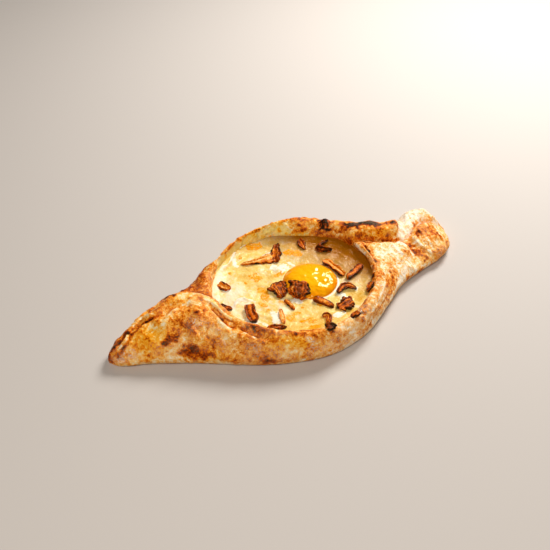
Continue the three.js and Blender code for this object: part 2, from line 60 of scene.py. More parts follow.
# foot of the low side and of the high side: u, x, y
NEAR_FOOT = [(0, -143, -9), (0.04, -136, -18), (0.12, -118, -25.5), (0.22, -92, -37.5),
             (0.34, -55, -57), (0.44, -25, -67.5), (0.52, 2, -69), (0.60, 28, -61.5),
             (0.68, 52.5, -45.5), (0.76, 76, -30), (0.84, 101, -21), (0.92, 122.5, -14),
             (0.965, 133.5, -6), (1, 138.5, 8)]
FAR_FOOT = [(0, -143, -9), (0.04, -138.5, -2), (0.12, -120, 8), (0.22, -92, 18),
            (0.30, -67, 28), (0.36, -46, 35.5), (0.44, -20, 47.5), (0.52, 8, 53.5),
            (0.60, 36, 52), (0.68, 60, 41), (0.76, 82, 32.5), (0.835, 101, 30),
            (0.868, 110, 35), (0.90, 118, 40.5), (0.955, 136.5, 37), (1, 138.5, 8)]
# seam between the flaps on each tail: u, x, y
LEFT_SEAM = [(0, -142, -8.5), (0.035, -135, -9.5), (0.08, -124, -4), (0.14, -108, 4),
             (0.20, -88, 12), (0.25, -73, 6), (0.28, -64, -4)]
RIGHT_SEAM = [(0.74, 56, 13), (0.77, 64, 10), (0.80, 74, 6), (0.83, 84, 3.5), (0.86, 93, 2.8),
              (0.88, 99, 3.5), (0.90, 106, 7), (0.925, 114, 12.5), (0.95, 122, 15),
              (0.975, 130, 12), (1, 138.5, 8)]
# crest heights of the two flaps: u, z
NEAR_CREST = [(0, 7), (0.03, 12), (0.10, 19), (0.18, 26), (0.26, 28), (0.34, 25), (0.44, 22),
              (0.54, 20), (0.64, 21), (0.74, 23), (0.80, 21), (0.86, 17), (0.91, 19),
              (0.96, 16), (1, 8)]
FAR_CREST = [(0, 7), (0.03, 11), (0.10, 17), (0.18, 20), (0.26, 22), (0.34, 26), (0.44, 27.5),
             (0.54, 28.5), (0.60, 28), (0.66, 25.5), (0.76, 28.5), (0.842, 26.5), (0.868, 18),
             (0.90, 19.5), (0.94, 20.5), (0.97, 17), (1, 8)]
# how far along the mouth's outline each lip has come: share, share
NEAR_LIP_PACE = [(0, 0), (0.12, 0.13), (0.5, 0.47), (0.8, 0.78), (1, 1)]
FAR_LIP_PACE = [(0, 0), (0.12, 0.16), (0.5, 0.52), (1, 1)]
# how far the inner wall stands outside the lip: degrees, mm
UNDERCUT = [(0, 3.5), (20, 1), (40, 0), (60, -1), (90, -1.5), (150, -1.5), (180, 0), (200, 1.5),
            (270, 2), (330, 4), (360, 3.5)]
# profiles from foot to lip: share of the width, share of the crest height
NEAR_RIM = [(0.05, 0.60), (0.24, 0.88), (0.52, 1), (0.80, 0.98), (1, 0.84)]
FAR_RIM = [(0.02, 0.62), (0.20, 0.90), (0.50, 1), (0.80, 0.90), (1, 0.72)]
NEAR_FLAP = [(0.06, 0.50), (0.28, 0.73), (0.60, 0.93), (0.86, 1), (1, 0.88)]
FAR_FLAP = [(0.08, 0.52), (0.32, 0.80), (0.58, 0.97), (0.80, 1), (0.985, 0.82)]

# creases pressed in from above, with ridges as negative depth: path, width, depth
CREASES = [
    ([(-74, -4), (-69, -20), (-62, -37), (-51, -49), (-38, -57)], 3.6, 2.6),
    ([(98, 5), (97, -6), (93, -16), (86, -23)], 4.5, 2.6),
    ([(-112, -13), (-98, -12), (-84, -15), (-76, -18)], 6, -2.2),
    ([(-106, -5), (-92, -3), (-80, -7)], 4, 1.6),
]
# blisters and knobs: x, y, radius, height
BLISTERS = [(76, 25, 6, 1.6), (93, 15, 5, 1.2), (22, 41, 6, 1.5), (-34, 36, 6, 1.2),
            (-8, -64, 7, 1.2), (34, -50, 7, 1.3), (66, -22, 8, 1.2), (-88, -30, 9, 1.4),
            (-112, -20, 7, 1.2), (116, 30, 7, 1.2), (118, -6, 7, 1.2)]

# ------------------------------------------------------------------ fine folds and marks of the crust
# Edges and creases that are both a fold and a mark: x, y, z.
SHEET_EDGE_AT_TIP = [(-136, -12, 12), (-131, -11, 15), (-128, -9, 16), (-125, -4, 15),
                     (-122, -2, 17), (-117, 0, 18)]
LIP_EDGE_AT_CORNER = [(-71, -6, 28), (-69, -10, 28), (-67, -14, 28), (-66, -19, 27),
                      (-65, -24, 26), (-62, -29, 25)]
CREASE_ALONG_LOW_LIP = [(-70, -12, 27), (-67, -20, 26), (-65, -27, 25), (-61, -33, 24)]
EDGE_ON_LOW_RIM = [(-59, -42, 22), (-56, -47, 21), (-53, -50, 21)]
STRETCH_LINE_ON_RIGHT_WALL = [(56, -34, 19), (49, -42, 18), (40, -50, 18), (31, -57, 17)]
PLEAT_BY_NECK = [(83, 4, 17), (82, -4, 20), (83, -10, 18), (86, -13, 16)]
PLEAT_AT_NECK = [(87, 3, 18), (90, -2, 18), (92, -7, 17), (94, -11, 14), (95, -14, 12)]
# The gap under the roll is darkened as painted shade, by its fold and by its mark.
GAP_UNDER_ROLL = [(57, 13, 22), (66, 5, 22), (79, 5, 19), (85, 4, 18), (93, 4, 17)]
EDGE_ON_BLUNT_TAIL = [(125, 8, 16), (127, 3, 15), (126, -2, 14), (127, -7, 12)]
EDGE_ON_HIGH_RIM = [(16, 48, 27), (18, 45, 24), (18, 42, 20)]

# Folds stand out from the skin or are pressed into it: shape, width, rise in mm, browning added, path.
# The browning added is mostly painted shade in grooves and, where negative, painted highlight on ridges.
# A sheet is an edge of dough that lies on the dough beside it, raised on the path's left.
FOLDS = [
    # pointed tail
    ("ridge", 2.4, 1.1, -0.06, [(-107, -16, 22), (-102, -13, 24), (-95, -8, 25), (-88, -4, 26),
                                (-81, -5, 27), (-76, -9, 27)]),
    ("groove", 1.6, 0.7, 0.04, [(-104, -7, 24), (-95, -2, 25), (-87, -1, 27), (-80, 0, 28)]),
    ("groove", 1.3, 1.2, 0.16, [(-137, -15, 9), (-133, -13, 12), (-129, -11, 14), (-125, -8, 16),
                                (-121, -6, 18), (-117, -4, 20)]),
    ("groove", 2.0, 1.4, 0.16, [(-120, -6, 18), (-116, -3, 20), (-112, -4, 22), (-107, -4, 23),
                                (-101, -5, 24)]),
    ("sheet", 3.4, 1.3, 0.0, [(-136, -12, 12), (-131, -11, 15), (-128, -9, 16), (-125, -4, 15),
                              (-122, -2, 17), (-117, 0, 18), (-111, 1, 21), (-107, -1, 24)]),
    ("ridge", 0.7, 0.5, -0.14, SHEET_EDGE_AT_TIP),
    ("ridge", 0.7, 0.5, -0.12, [(-114, 1, 19), (-111, 1, 21), (-108, -1, 24), (-106, -2, 25)]),
    ("sheet", 3.0, 0.9, 0.0, [(-120, 4, 15), (-113, 6, 18), (-108, 8, 19), (-104, 6, 22)]),
    ("groove", 0.9, 0.5, 0.10, [(-138, -16, 6), (-136, -17, 8), (-134, -19, 7), (-131, -19, 9)]),
    ("groove", 0.9, 0.4, 0.08, [(-134, -17, 10), (-131, -18, 10), (-128, -20, 9), (-125, -19, 11)]),
    ("groove", 1.4, 0.8, 0.12, [(-82, -33, 20), (-79, -38, 19), (-80, -42, 14)]),
    ("groove", 1.2, 0.5, 0.08, [(-90, -19, 25), (-86, -24, 24), (-83, -30, 21)]),
    # low rim
    ("groove", 1.0, 1.3, 0.14, [(-71, -12, 25), (-68, -23, 24), (-66, -31, 24), (-62, -38, 23)]),
    ("ridge", 1.3, 0.9, -0.06, [(-72, -11, 26), (-71, -18, 25), (-70, -29, 25), (-68, -36, 24)]),
    ("ridge", 1.0, 1.0, -0.20, LIP_EDGE_AT_CORNER),
    ("groove", 0.9, 0.9, 0.12, CREASE_ALONG_LOW_LIP),
    ("groove", 0.9, 0.9, 0.16, [(-60, -38, 23), (-58, -41, 22), (-55, -46, 22), (-50, -50, 21)]),
    ("ridge", 0.9, 0.5, -0.20, EDGE_ON_LOW_RIM),
    ("ridge", 2.2, 0.6, 0.04, [(-56, -36, 24), (-46, -47, 24), (-36, -55, 23), (-24, -60, 22)]),
    # right wall
    ("ridge", 1.3, 0.9, -0.24, [(56, 7, 21), (58, -2, 20), (60, -7, 20), (58, -13, 20),
                                (55, -20, 20)]),
    ("groove", 1.0, 1.2, 0.22, [(60, 6, 23), (60, -2, 23), (60, -9, 22), (58, -17, 22),
                                (53, -25, 22)]),
    ("ridge", 1.6, 0.5, -0.14, [(31, -59, 4), (41, -54, 6), (52, -47, 8), (66, -36, 10),
                                (73, -30, 10)]),
    ("groove", 1.1, 0.5, 0.14, [(26, -62, 10), (38, -55, 13), (50, -46, 13), (60, -37, 14)]),
    ("ridge", 0.9, 0.4, -0.14, STRETCH_LINE_ON_RIGHT_WALL),
    ("groove", 0.9, 0.4, 0.12, [(50, -38, 20), (43, -45, 19), (36, -52, 19), (27, -58, 18)]),
    ("ridge", 0.9, 0.4, -0.12, [(46, -36, 21), (38, -45, 21), (30, -53, 20)]),
    ("groove", 0.8, 0.3, 0.08, [(69, -1, 22), (73, -10, 19), (75, -18, 17), (74, -25, 14)]),
    ("groove", 0.8, 0.3, 0.08, [(76, -2, 21), (80, -10, 18), (84, -15, 15)]),
    ("groove", 0.8, 0.4, 0.12, [(64, -8, 21), (66, -18, 20), (71, -23, 16), (70, -30, 12)]),
    ("groove", 0.8, 0.3, 0.08, [(84, 0, 19), (87, -9, 18), (90, -14, 14)]),
    ("groove", 0.9, 0.4, 0.12, [(66, -22, 19), (69, -27, 16), (63, -33, 15), (56, -40, 13)]),
    ("ridge", 1.3, 0.6, -0.12, PLEAT_BY_NECK),
    ("ridge", 1.8, 0.8, -0.14, PLEAT_AT_NECK),
    ("groove", 1.1, 0.7, 0.14, [(93, 2, 16), (95, -4, 15), (97, -10, 13)]),
    # roll
    ("ridge", 1.8, 0.5, 0.08, [(57, 27, 27), (64, 20, 28), (72, 13, 29), (84, 9, 27), (92, 8, 24)]),
    ("ridge", 1.6, 0.6, 0.04, [(65, 16, 28), (71, 11, 27), (80, 9, 27), (86, 6, 24)]),
    ("groove", 1.5, 0.7, 0.0, [(57, 15, 25), (65, 12, 25), (76, 8, 25)]),
    ("groove", 1.2, 1.0, 0.22, GAP_UNDER_ROLL),
    ("groove", 1.6, 1.0, 0.0, [(95, 14, 22), (97, 6, 19), (94, 1, 17)]),
    # blunt tail
    ("sheet", 5.0, 1.2, 0.0, [(129, 10, 16), (125, 11, 16), (121, 10, 18), (115, 10, 18),
                              (111, 9, 18), (108, 9, 16), (104, 6, 15)]),
    ("groove", 0.9, 0.9, 0.22, [(103, 5, 15), (108, 10, 16), (112, 11, 18), (117, 12, 18),
                                (122, 12, 17), (127, 12, 17)]),
    ("ridge", 1.5, 1.0, -0.10, [(102, 3, 18), (103, -3, 18), (104, -7, 16), (107, -12, 14),
                                (111, -16, 10)]),
    ("groove", 1.0, 0.6, 0.10, [(106, 2, 19), (106, -3, 18), (108, -7, 16), (111, -12, 14)]),
    ("ridge", 3.0, 0.9, -0.10, [(97, 9, 18), (103, 14, 19), (110, 22, 19), (115, 30, 18)]),
    ("ridge", 1.5, 0.8, -0.08, [(122, 31, 19), (128, 23, 19), (131, 16, 17), (134, 9, 11),
                                (131, -2, 10)]),
    ("ridge", 0.8, 0.6, -0.18, EDGE_ON_BLUNT_TAIL),
    ("groove", 0.8, 0.5, 0.10, [(122, 7, 17), (124, 2, 15), (124, -4, 14), (124, -9, 12)]),
    ("ridge", 0.8, 0.5, -0.14, [(131, 9, 14), (132, 6, 12), (134, 3, 10)]),
    ("groove", 0.8, 0.5, 0.18, [(115, 29, 18), (113, 24, 19), (112, 19, 20)]),
    ("groove", 0.7, 0.4, 0.10, [(118, 27, 20), (116, 21, 20), (113, 15, 19)]),
    ("groove", 0.7, 0.4, 0.10, [(121, 24, 21), (118, 19, 21), (115, 14, 19)]),
    ("groove", 0.7, 0.4, 0.08, [(124, 22, 21), (121, 18, 20), (118, 14, 18)]),
    ("groove", 0.7, 0.4, 0.08, [(129, 21, 19), (128, 16, 17), (125, 13, 17)]),
    ("groove", 0.7, 0.45, 0.12, [(110, 3, 20), (109, -1, 18), (108, -6, 16)]),
    ("groove", 0.7, 0.45, 0.10, [(113, 6, 19), (111, 0, 19), (110, -6, 16), (113, -11, 14)]),
    ("groove", 0.7, 0.45, 0.10, [(116, 7, 19), (114, -1, 18), (113, -8, 15)]),
    ("groove", 0.7, 0.45, 0.08, [(119, 6, 18), (118, 0, 17), (116, -8, 15)]),
    ("groove", 0.7, 0.40, 0.08, [(121, 5, 17), (120, -2, 16), (120, -9, 13)]),
    # high rim
    ("ridge", 1.6, 0.6, 0.04, [(-44, 33, 26), (-37, 37, 26), (-23, 45, 28), (-11, 48, 27),
                               (1, 50, 27)]),
    ("groove", 1.2, 0.6, 0.04, [(-60, 14, 23), (-53, 22, 21), (-48, 28, 19), (-39, 34, 17)]),
    ("ridge", 0.9, 0.6, -0.20, EDGE_ON_HIGH_RIM),
    ("ridge", 0.8, 0.6, -0.16, [(-19, 45, 16), (-12, 47, 16), (-7, 47, 17)]),
    ("ridge", 0.8, 0.5, -0.16, [(-3, 49, 27), (2, 48, 23), (6, 47, 19)]),
    ("groove", 1.0, 0.5, 0.06, [(10, 48, 26), (12, 45, 22), (13, 42, 18)]),
    ("groove", 1.0, 0.5, 0.08, [(24, 46, 26), (27, 42, 23), (28, 39, 19)]),
    ("groove", 1.2, 0.8, 0.10, [(41, 40, 25), (42, 35, 23), (43, 31, 20)]),
]
# knobs and blisters picked out on the skin: x, y, z, radius, rise
KNOBS = [
    (-81, -17, 28, 2.2, 0.9), (-92, 7, 27, 3.6, 1.1), (-86, 3, 27, 4.0, 0.7), (-104, -25, 16, 4.0, 0.5),
    (-53, -42, 24, 2.6, 0.8), (-30, -57, 22, 2.4, 0.8), (-38, -54, 23, 2.6, 0.5), (-20, -65, 19, 2.0, 0.6),
    (45, 37, 26, 3.6, 3.8), (38, 41, 25, 3.0, 1.0), (52, 34, 26, 3.6, 1.0), (73, 20, 28, 3.4, 0.5),
    (92, 12, 26, 3.0, 1.1), (-39, 36, 22, 2.4, 0.6), (-25, 43, 19, 2.6, 0.6), (-16, 46, 19, 3.0, 0.8),
    (-3, 48, 21, 2.8, 0.7), (11, 47, 23, 2.8, 0.9), (19, 45, 24, 1.8, 0.5), (28, 41, 22, 3.2, 0.8),
    (25, 44, 26, 2.0, 0.6), (55, -18, 21, 2.0, 0.6), (49, -29, 21, 2.6, 0.6), (27, -58, 19, 2.6, 0.6),
    (15, 49, 28, 2.4, 0.7), (26, 48, 28, 3.0, 0.7), (61, 13, 25, 3.0, 0.4), (110, 4, 19, 3.0, 0.4),
    (127, 25, 19, 3.4, 1.5), (116, 31, 17, 3.2, 1.4), (122, 29, 18, 4.0, -1.2), (134, 0, 9, 4.0, 0.8),
]
# Marks on the crust, by what they do to it: radius, strength, path.
MARKS = {
    "pale": [
        # Painted highlights: the lit crest of the pointed tail's flap, a lighter band on its upper face, and
        # the top of the tail.
        (1.9, 0.22, [(-104, -14, 23), (-95, -8, 25), (-88, -4, 26), (-81, -5, 27), (-77, -10, 28)]),
        (6.0, 0.08, [(-106, -8, 23), (-95, -2, 26), (-84, 2, 28), (-74, 4, 26)]),
        (2.4, 0.16, [(-92, 1, 27), (-84, 3, 28), (-76, 9, 23)]),
        # Painted highlights along the lit edges of the dough sheets at the tip.
        (0.5, 0.40, SHEET_EDGE_AT_TIP),
        (0.5, 0.36, [(-114, 1, 19), (-111, 1, 21), (-107, -1, 24)]),
        (2.6, 0.10, [(-121, 2, 17), (-115, 4, 18), (-110, 6, 19)]),
        (2.2, 0.12, [(-111, -29, 8), (-107, -29, 10), (-104, -29, 13), (-100, -30, 14)]),
        (3.0, 0.12, [(-108, -30, 6), (-103, -32, 8)]),
        (1.0, 0.25, [(-102, -30, 13), (-96, -32, 15)]),
        (2.6, 0.06, [(-117, -11, 19), (-110, -12, 21)]),
        (1.1, 0.18, [(-72, -11, 26), (-71, -18, 25), (-70, -29, 25), (-66, -37, 24)]),
        (1.8, 0.22, [(-69, -29, 25), (-67, -35, 24), (-62, -42, 22)]),
        # Painted highlight along the lip's thin edge at the corner.
        (1.2, 0.80, LIP_EDGE_AT_CORNER),
        (0.9, 0.44, EDGE_ON_LOW_RIM),
        (4.0, 0.14, [(-40, -62, 12), (-30, -66, 11)]),
        (1.6, 0.34, [(31, -59, 4), (41, -54, 6), (52, -47, 8), (66, -36, 10), (74, -30, 9)]),
        (2.4, 0.20, [(-8, -70, 6), (4, -70, 6), (16, -67, 6)]),
        (4.0, 0.22, [(49, -38, 20), (54, -34, 18), (60, -28, 18)]),
        (1.0, 0.24, STRETCH_LINE_ON_RIGHT_WALL),
        (1.6, 0.45, [(56, 7, 21), (57, -2, 19), (59, -7, 19), (57, -14, 19)]),
        (4.0, 0.24, [(76, -26, 12), (70, -31, 10), (82, -22, 11)]),
        (6.0, 0.04, [(68, -3, 21), (76, -8, 19), (88, -8, 17)]),
        (4.0, 0.34, [(96, 12, 21), (95, 6, 18), (100, 10, 18)]),
        (5.0, 0.34, [(106, 19, 18), (113, 27, 18), (118, 28, 19)]),
        (5.0, 0.22, [(122, 24, 20), (124, 16, 18)]),
        (1.2, 0.40, [(102, 3, 18), (103, -3, 18), (104, -7, 16), (107, -12, 14), (110, -15, 11)]),
        (1.2, 0.44, EDGE_ON_BLUNT_TAIL),
        (1.4, 0.34, [(122, 31, 19), (128, 23, 19), (131, 16, 17), (134, 9, 11), (132, -2, 9)]),
        (1.8, 0.36, PLEAT_AT_NECK),
        (1.2, 0.40, PLEAT_BY_NECK),
        (1.2, 0.45, [(97, 3, 15), (98, 1, 16)]),
        (2.0, 0.40, [(-58, 11, 16), (-54, 19, 16), (-50, 25, 18)]),
        (1.2, 0.60, EDGE_ON_HIGH_RIM),
    ],
    "brown": [
        (1.6, 0.36, [(-137, -15, 9), (-133, -13, 12), (-129, -11, 14), (-125, -8, 16), (-120, -6, 18)]),
        (1.8, 0.42, [(-116, -3, 20), (-112, -4, 22), (-108, -4, 23), (-102, -5, 24)]),
        (1.4, 0.50, [(-142, -8, 7), (-138, -7, 10), (-131, -6, 13), (-126, -3, 15)]),
        (3.0, 0.46, [(-142, -10, 6), (-141, -12, 4)]),
        (1.2, 0.50, [(-109, 2, 22), (-108, 4, 21)]),
        (3.4, 0.72, [(-106, -23, 17), (-100, -24, 18)]),
        (5.0, 0.14, [(-113, -24, 12), (-104, -25, 14)]),
        (2.0, 0.50, [(-81, -17, 28)]),
        (3.0, 0.22, [(-125, -17, 13), (-125, -15, 14)]),
        (7.0, 0.62, [(-95, -34, 12), (-86, -39, 13)]),
        (5.0, 0.14, [(-96, -18, 22), (-90, -22, 23)]),
        (2.4, 0.20, [(-86, -14, 28), (-93, -16, 24)]),
        (2.6, 0.36, [(-79, -39, 18), (-80, -43, 13)]),
        (2.0, 0.45, [(-76, -6, 28), (-73, -6, 28)]),
        (0.9, 0.30, [(-71, -13, 25), (-68, -23, 24), (-66, -31, 24), (-62, -38, 23)]),
        (0.9, 0.30, CREASE_ALONG_LOW_LIP),
        (3.0, 0.12, [(-60, -34, 24), (-50, -44, 23), (-42, -51, 23)]),
        (2.6, 0.30, [(-32, -55, 23), (-28, -59, 23), (-24, -60, 22)]),
        (4.5, 0.14, [(-53, -53, 20), (-47, -55, 20)]),
        (1.5, 0.34, [(-65, -50, 15), (-62, -53, 13)]),
        (2.4, 0.24, [(-57, -56, 12), (-50, -60, 12)]),
        (3.2, 0.55, [(-51, -59, 6), (-47, -61, 6)]),
        (3.0, 0.26, [(-16, -67, 13), (-12, -68, 14)]),
        (2.0, 0.30, [(26, -57, 19), (30, -57, 17)]),
        (2.4, 0.30, [(18, -61, 19), (21, -62, 17)]),
        (2.4, 0.30, [(11, -67, 8)]),
        (1.8, 0.34, [(51, -46, 12)]),
        (2.2, 0.26, [(65, -31, 16), (65, -27, 17)]),
        (1.1, 0.55, [(60, 6, 23), (60, -2, 23), (60, -9, 22), (58, -16, 22)]),
        (1.0, 0.24, [(63, 6, 23), (63, -3, 22), (61, -11, 22), (56, -20, 22)]),
        (2.6, 0.32, [(50, -27, 21), (46, -34, 20), (40, -42, 20)]),
        (4.0, 0.46, [(22, -57, 21), (26, -54, 22), (31, -49, 21)]),
        (5.4, 0.82, [(57, 26, 27), (64, 23, 28), (69, 21, 29), (75, 17, 29)]),
        (3.4, 0.46, [(75, 17, 29), (83, 14, 28), (91, 11, 28)]),
        (2.2, 0.50, [(91, 13, 28), (93, 13, 27)]),
        (4.2, 0.60, [(45, 38, 26), (43, 34, 25)]),
        (3.2, 0.34, [(60, 14, 26), (64, 11, 25)]),
        (2.6, 0.22, [(79, 6, 23), (87, 5, 23)]),
        # Painted shade in the gap under the roll.
        (1.0, 0.34, GAP_UNDER_ROLL),
        (2.0, 0.50, [(92, 11, 25), (96, 10, 23)]),
        (1.3, 0.60, [(111, 14, 19), (112, 11, 17)]),
        (1.6, 0.50, [(108, 4, 19), (106, 0, 19)]),
        (2.4, 0.08, [(113, 6, 19), (113, 1, 19)]),
        (4.0, 0.08, [(112, 5, 19), (119, 4, 18)]),
        (1.5, 0.60, [(94, 1, 16), (96, -2, 15), (99, -5, 14)]),
        (1.4, 0.50, [(98, -8, 13), (97, -12, 12)]),
        (1.3, 0.60, [(105, -17, 10), (101, -19, 9)]),
        (1.4, 0.60, [(111, -15, 12)]),
        (1.2, 0.34, [(116, -14, 12)]),
        (3.6, 0.30, [(100, -12, 13), (103, -16, 11)]),
        (1.2, 0.40, [(115, 28, 18), (112, 20, 20)]),
        (1.4, 0.50, [(128, 24, 19)]),
        (4.0, 0.12, [(119, 0, 17), (126, -2, 14)]),
        (2.4, 0.46, [(80, -29, 6), (88, -26, 5), (97, -22, 5)]),
        (6.0, 0.10, [(-72, 14, 20), (-61, 21, 24), (-55, 27, 24)]),
        (1.0, 0.40, [(-44, 34, 26), (-37, 38, 26), (-23, 46, 28), (-11, 49, 27)]),
        (2.2, 0.50, [(-39, 36, 22)]), (2.4, 0.50, [(-25, 43, 19)]), (3.0, 0.46, [(-17, 46, 19)]),
        (2.4, 0.56, [(-3, 48, 21)]), (2.2, 0.85, [(11, 47, 23)]), (1.4, 0.50, [(19, 45, 24)]),
        (3.2, 0.46, [(28, 41, 22)]), (1.6, 0.50, [(25, 44, 26)]), (1.4, 0.40, [(-10, 46, 19)]),
        (1.4, 0.36, [(-33, 39, 18)]), (1.4, 0.36, [(3, 47, 20)]),
        (2.4, 0.34, [(15, 49, 28)]),
        (2.6, 0.24, [(26, 48, 28), (38, 46, 26)]),
        # Painted shade on the high wall's inner face under the roll and near the mouth's corner.
        (6.0, 0.26, [(25, 40, 17), (38, 34, 18), (48, 27, 18)]),
        (5.0, 0.30, [(52, 22, 17), (58, 14, 18)]),
    ],
    "char": [
        (2.6, 0.80, [(-93, 7, 26), (-89, 6, 27)]),
        (1.1, 0.50, [(-116, -3, 20), (-112, -4, 22), (-110, -4, 22)]),
        (0.8, 0.60, [(-136, -15, 9), (-134, -13, 12), (-132, -12, 13)]),
        (0.9, 0.70, [(-139, -8, 9), (-134, -7, 12), (-132, -8, 14)]),
        (0.8, 0.90, [(-97, -31, 15)]),
        (1.1, 0.55, [(-75, -6, 28)]),
        (0.9, 0.60, [(-81, -17, 28)]),
        (1.7, 0.80, [(-54, -41, 24), (-51, -44, 24)]),
        (1.3, 0.70, [(-31, -56, 23), (-28, -59, 23)]),
        (1.6, 0.15, [(-50, -60, 6)]),
        (1.6, 0.60, [(55, -18, 21), (53, -21, 22)]),
        (1.8, 0.60, [(50, -28, 21), (47, -31, 21)]),
        (1.0, 0.50, [(-2, -66, 20), (-8, -65, 21)]),
        (1.8, 0.50, [(23, -57, 21), (27, -53, 22)]),
        (3.2, 0.62, [(60, 26, 27), (66, 23, 28), (71, 21, 29)]),
        (3.0, 0.90, [(72, 21, 29), (74, 20, 29)]),
        (2.2, 0.90, [(91, 13, 28), (90, 13, 28)]),
        (1.0, 0.60, [(60, 1, 23), (60, -4, 23)]),
        (4.4, 1.00, [(45, 39, 26), (43, 36, 25)]),
        (1.4, 0.90, [(46, 31, 23)]),
        (1.2, 0.75, [(-38, 36, 25)]),
        (1.3, 0.75, [(-11, 48, 27), (-5, 49, 27)]),
    ],
    "flour": [
        (5.0, 0.65, [(-134, -18, 9), (-130, -18, 11), (-127, -21, 9)]),
        (3.0, 0.60, [(-140, -13, 5), (-137, -17, 7), (-134, -20, 6)]),
        (3.6, 0.35, [(-108, -30, 6), (-104, -31, 10)]),
        (2.8, 0.60, [(-84, -23, 25), (-80, -25, 25)]),
        (8.0, 0.26, [(-82, -25, 24), (-77, -34, 21), (-72, -44, 17)]),
        (1.0, 0.85, [(-94, -30, 18)]),
        (0.9, 0.90, [(-76, -39, 20), (-76, -43, 18), (-75, -46, 14)]),
        (0.9, 0.80, [(-73, -40, 21), (-72, -44, 18)]),
        (2.0, 0.50, [(-75, -31, 24), (-74, -34, 23)]),
        (6.0, 0.45, [(-44, -61, 14), (-34, -65, 12)]),
        (5.0, 0.40, [(-60, -52, 17), (-55, -55, 16)]),
        (2.4, 1.00, [(-22, -64, 20), (-19, -66, 18)]),
        (6.0, 0.60, [(-20, -68, 10), (0, -70, 9), (16, -65, 12)]),
        (7.0, 0.40, [(0, -65, 18), (16, -62, 18), (32, -54, 17)]),
        (4.0, 0.50, [(49, -38, 20), (49, -43, 17)]),
        (4.0, 0.35, [(63, 27, 27), (80, 16, 28)]),
        (5.0, 0.35, [(90, -18, 11), (97, -19, 10)]),
        (5.0, 0.40, [(118, -14, 10), (127, -10, 9)]),
        (3.5, 0.50, [(-58, 17, 22), (-52, 24, 22)]),
        (6.0, 0.30, [(-112, -25, 12), (-100, -28, 14)]),
    ],
    "gold": [
        (11.0, 0.55, [(-120, -15, 17), (-107, -18, 19)]),
        (6.0, 0.50, [(-90, 2, 26), (-80, 2, 27)]),
        (5.0, 0.70, [(-43, -58, 20), (-34, -62, 19), (-26, -64, 18)]),
        (4.0, 0.50, [(57, 15, 25), (65, 12, 25), (80, 8, 25)]),
        (6.0, 0.60, [(-34, 38, 21), (-12, 47, 22), (8, 48, 24)]),
        (6.0, 0.60, [(96, -17, 10), (108, -16, 9), (122, -11, 9)]),
        (7.0, 0.40, [(-92, -36, 10), (-70, -48, 10), (-55, -56, 12)]),
        (5.0, 0.40, [(50, 33, 26), (58, 31, 26)]),
    ],
    "cheese": [
        (1.2, 0.60, [(-70, -4, 27), (-67, -11, 27), (-66, -17, 26), (-65, -23, 25), (-61, -29, 25)]),
        (5.0, 0.85, [(-46, 30, 19), (-38, 37, 21), (-31, 41, 22), (-23, 45, 22), (-12, 47, 23),
                     (-1, 48, 23), (9, 48, 23), (15, 46, 22)]),
        (4.0, 0.90, [(-48, 26, 15), (-45, 30, 17), (-38, 35, 16), (-30, 39, 17), (-22, 44, 16),
                     (-12, 46, 16), (-3, 47, 16), (5, 47, 16), (12, 45, 17)]),
        (3.0, 0.60, [(12, 45, 18), (20, 42, 18), (30, 38, 19)]),
    ],
}
# browning, gold and flour along the boat, on the low side and on the high side: u, value
NEAR_BROWNING = [(0, 0.44), (0.06, 0.38), (0.13, 0.31), (0.20, 0.355), (0.28, 0.39), (0.36, 0.42),
                 (0.50, 0.37), (0.58, 0.34), (0.66, 0.31), (0.74, 0.28), (0.80, 0.22), (0.86, 0.33),
                 (0.92, 0.35), (1, 0.38)]
FAR_BROWNING = [(0, 0.54), (0.06, 0.42), (0.12, 0.34), (0.21, 0.46), (0.28, 0.57), (0.33, 0.36),
                (0.44, 0.30), (0.54, 0.34), (0.62, 0.37), (0.70, 0.36), (0.80, 0.38), (0.84, 0.38),
                (0.87, 0.14), (0.92, 0.15), (0.96, 0.24), (1, 0.34)]
NEAR_GOLD = [(0, 0.3), (0.10, 0.9), (0.19, 0.6), (0.28, 0.4), (0.42, 0.6), (0.55, 0.35),
             (0.70, 0.2), (0.80, 0.1), (0.90, 0.3), (1, 0.4)]
FAR_GOLD = [(0, 0.3), (0.18, 0.8), (0.28, 0.3), (0.42, 0.8), (0.70, 0.8), (0.84, 0.6),
            (0.88, 0.1), (1, 0.2)]
NEAR_FLOUR = [(0, 0.25), (0.10, 0.05), (0.18, 0.2), (0.26, 0.4), (0.36, 0.3), (0.46, 0.2),
              (0.56, 0.5), (0.66, 0.45), (0.78, 0.3), (0.90, 0.3), (1, 0.2)]
FAR_FLOUR = [(0, 0.2), (0.15, 0.1), (0.26, 0.25), (0.40, 0.1), (0.70, 0.15), (0.83, 0.2), (0.88, 0.6),
             (0.94, 0.5), (1, 0.2)]

# ------------------------------------------------------------------ driving sizes of the filling
CHEESE_LEVEL, CHEESE_BOTTOM, CHEESE_MENISCUS = 15.3, 8.6, 1.0
# swells and dips of the melted cheese: x, y, radius, height
SWELLS = [(-46, 2, 13, 1.5), (-22, 22, 15, 1.3), (-38, -26, 10, -0.8), (-6, 10, 9, 1),
          (2, -38, 12, 0.8), (34, -24, 9, 0.8), (40, 4, 14, -0.8), (-28, -38, 8, 0.9),
          (14, 30, 9, 0.7)]
YOLK_X, YOLK_Y, YOLK_RADIUS, YOLK_BELOW, YOLK_ABOVE = 8.6, -9.0, 19.4, 2.4, 6.2
YOLK_OVAL, YOLK_TURN, YOLK_SHOULDER = 0.02, 0.6, 0.8
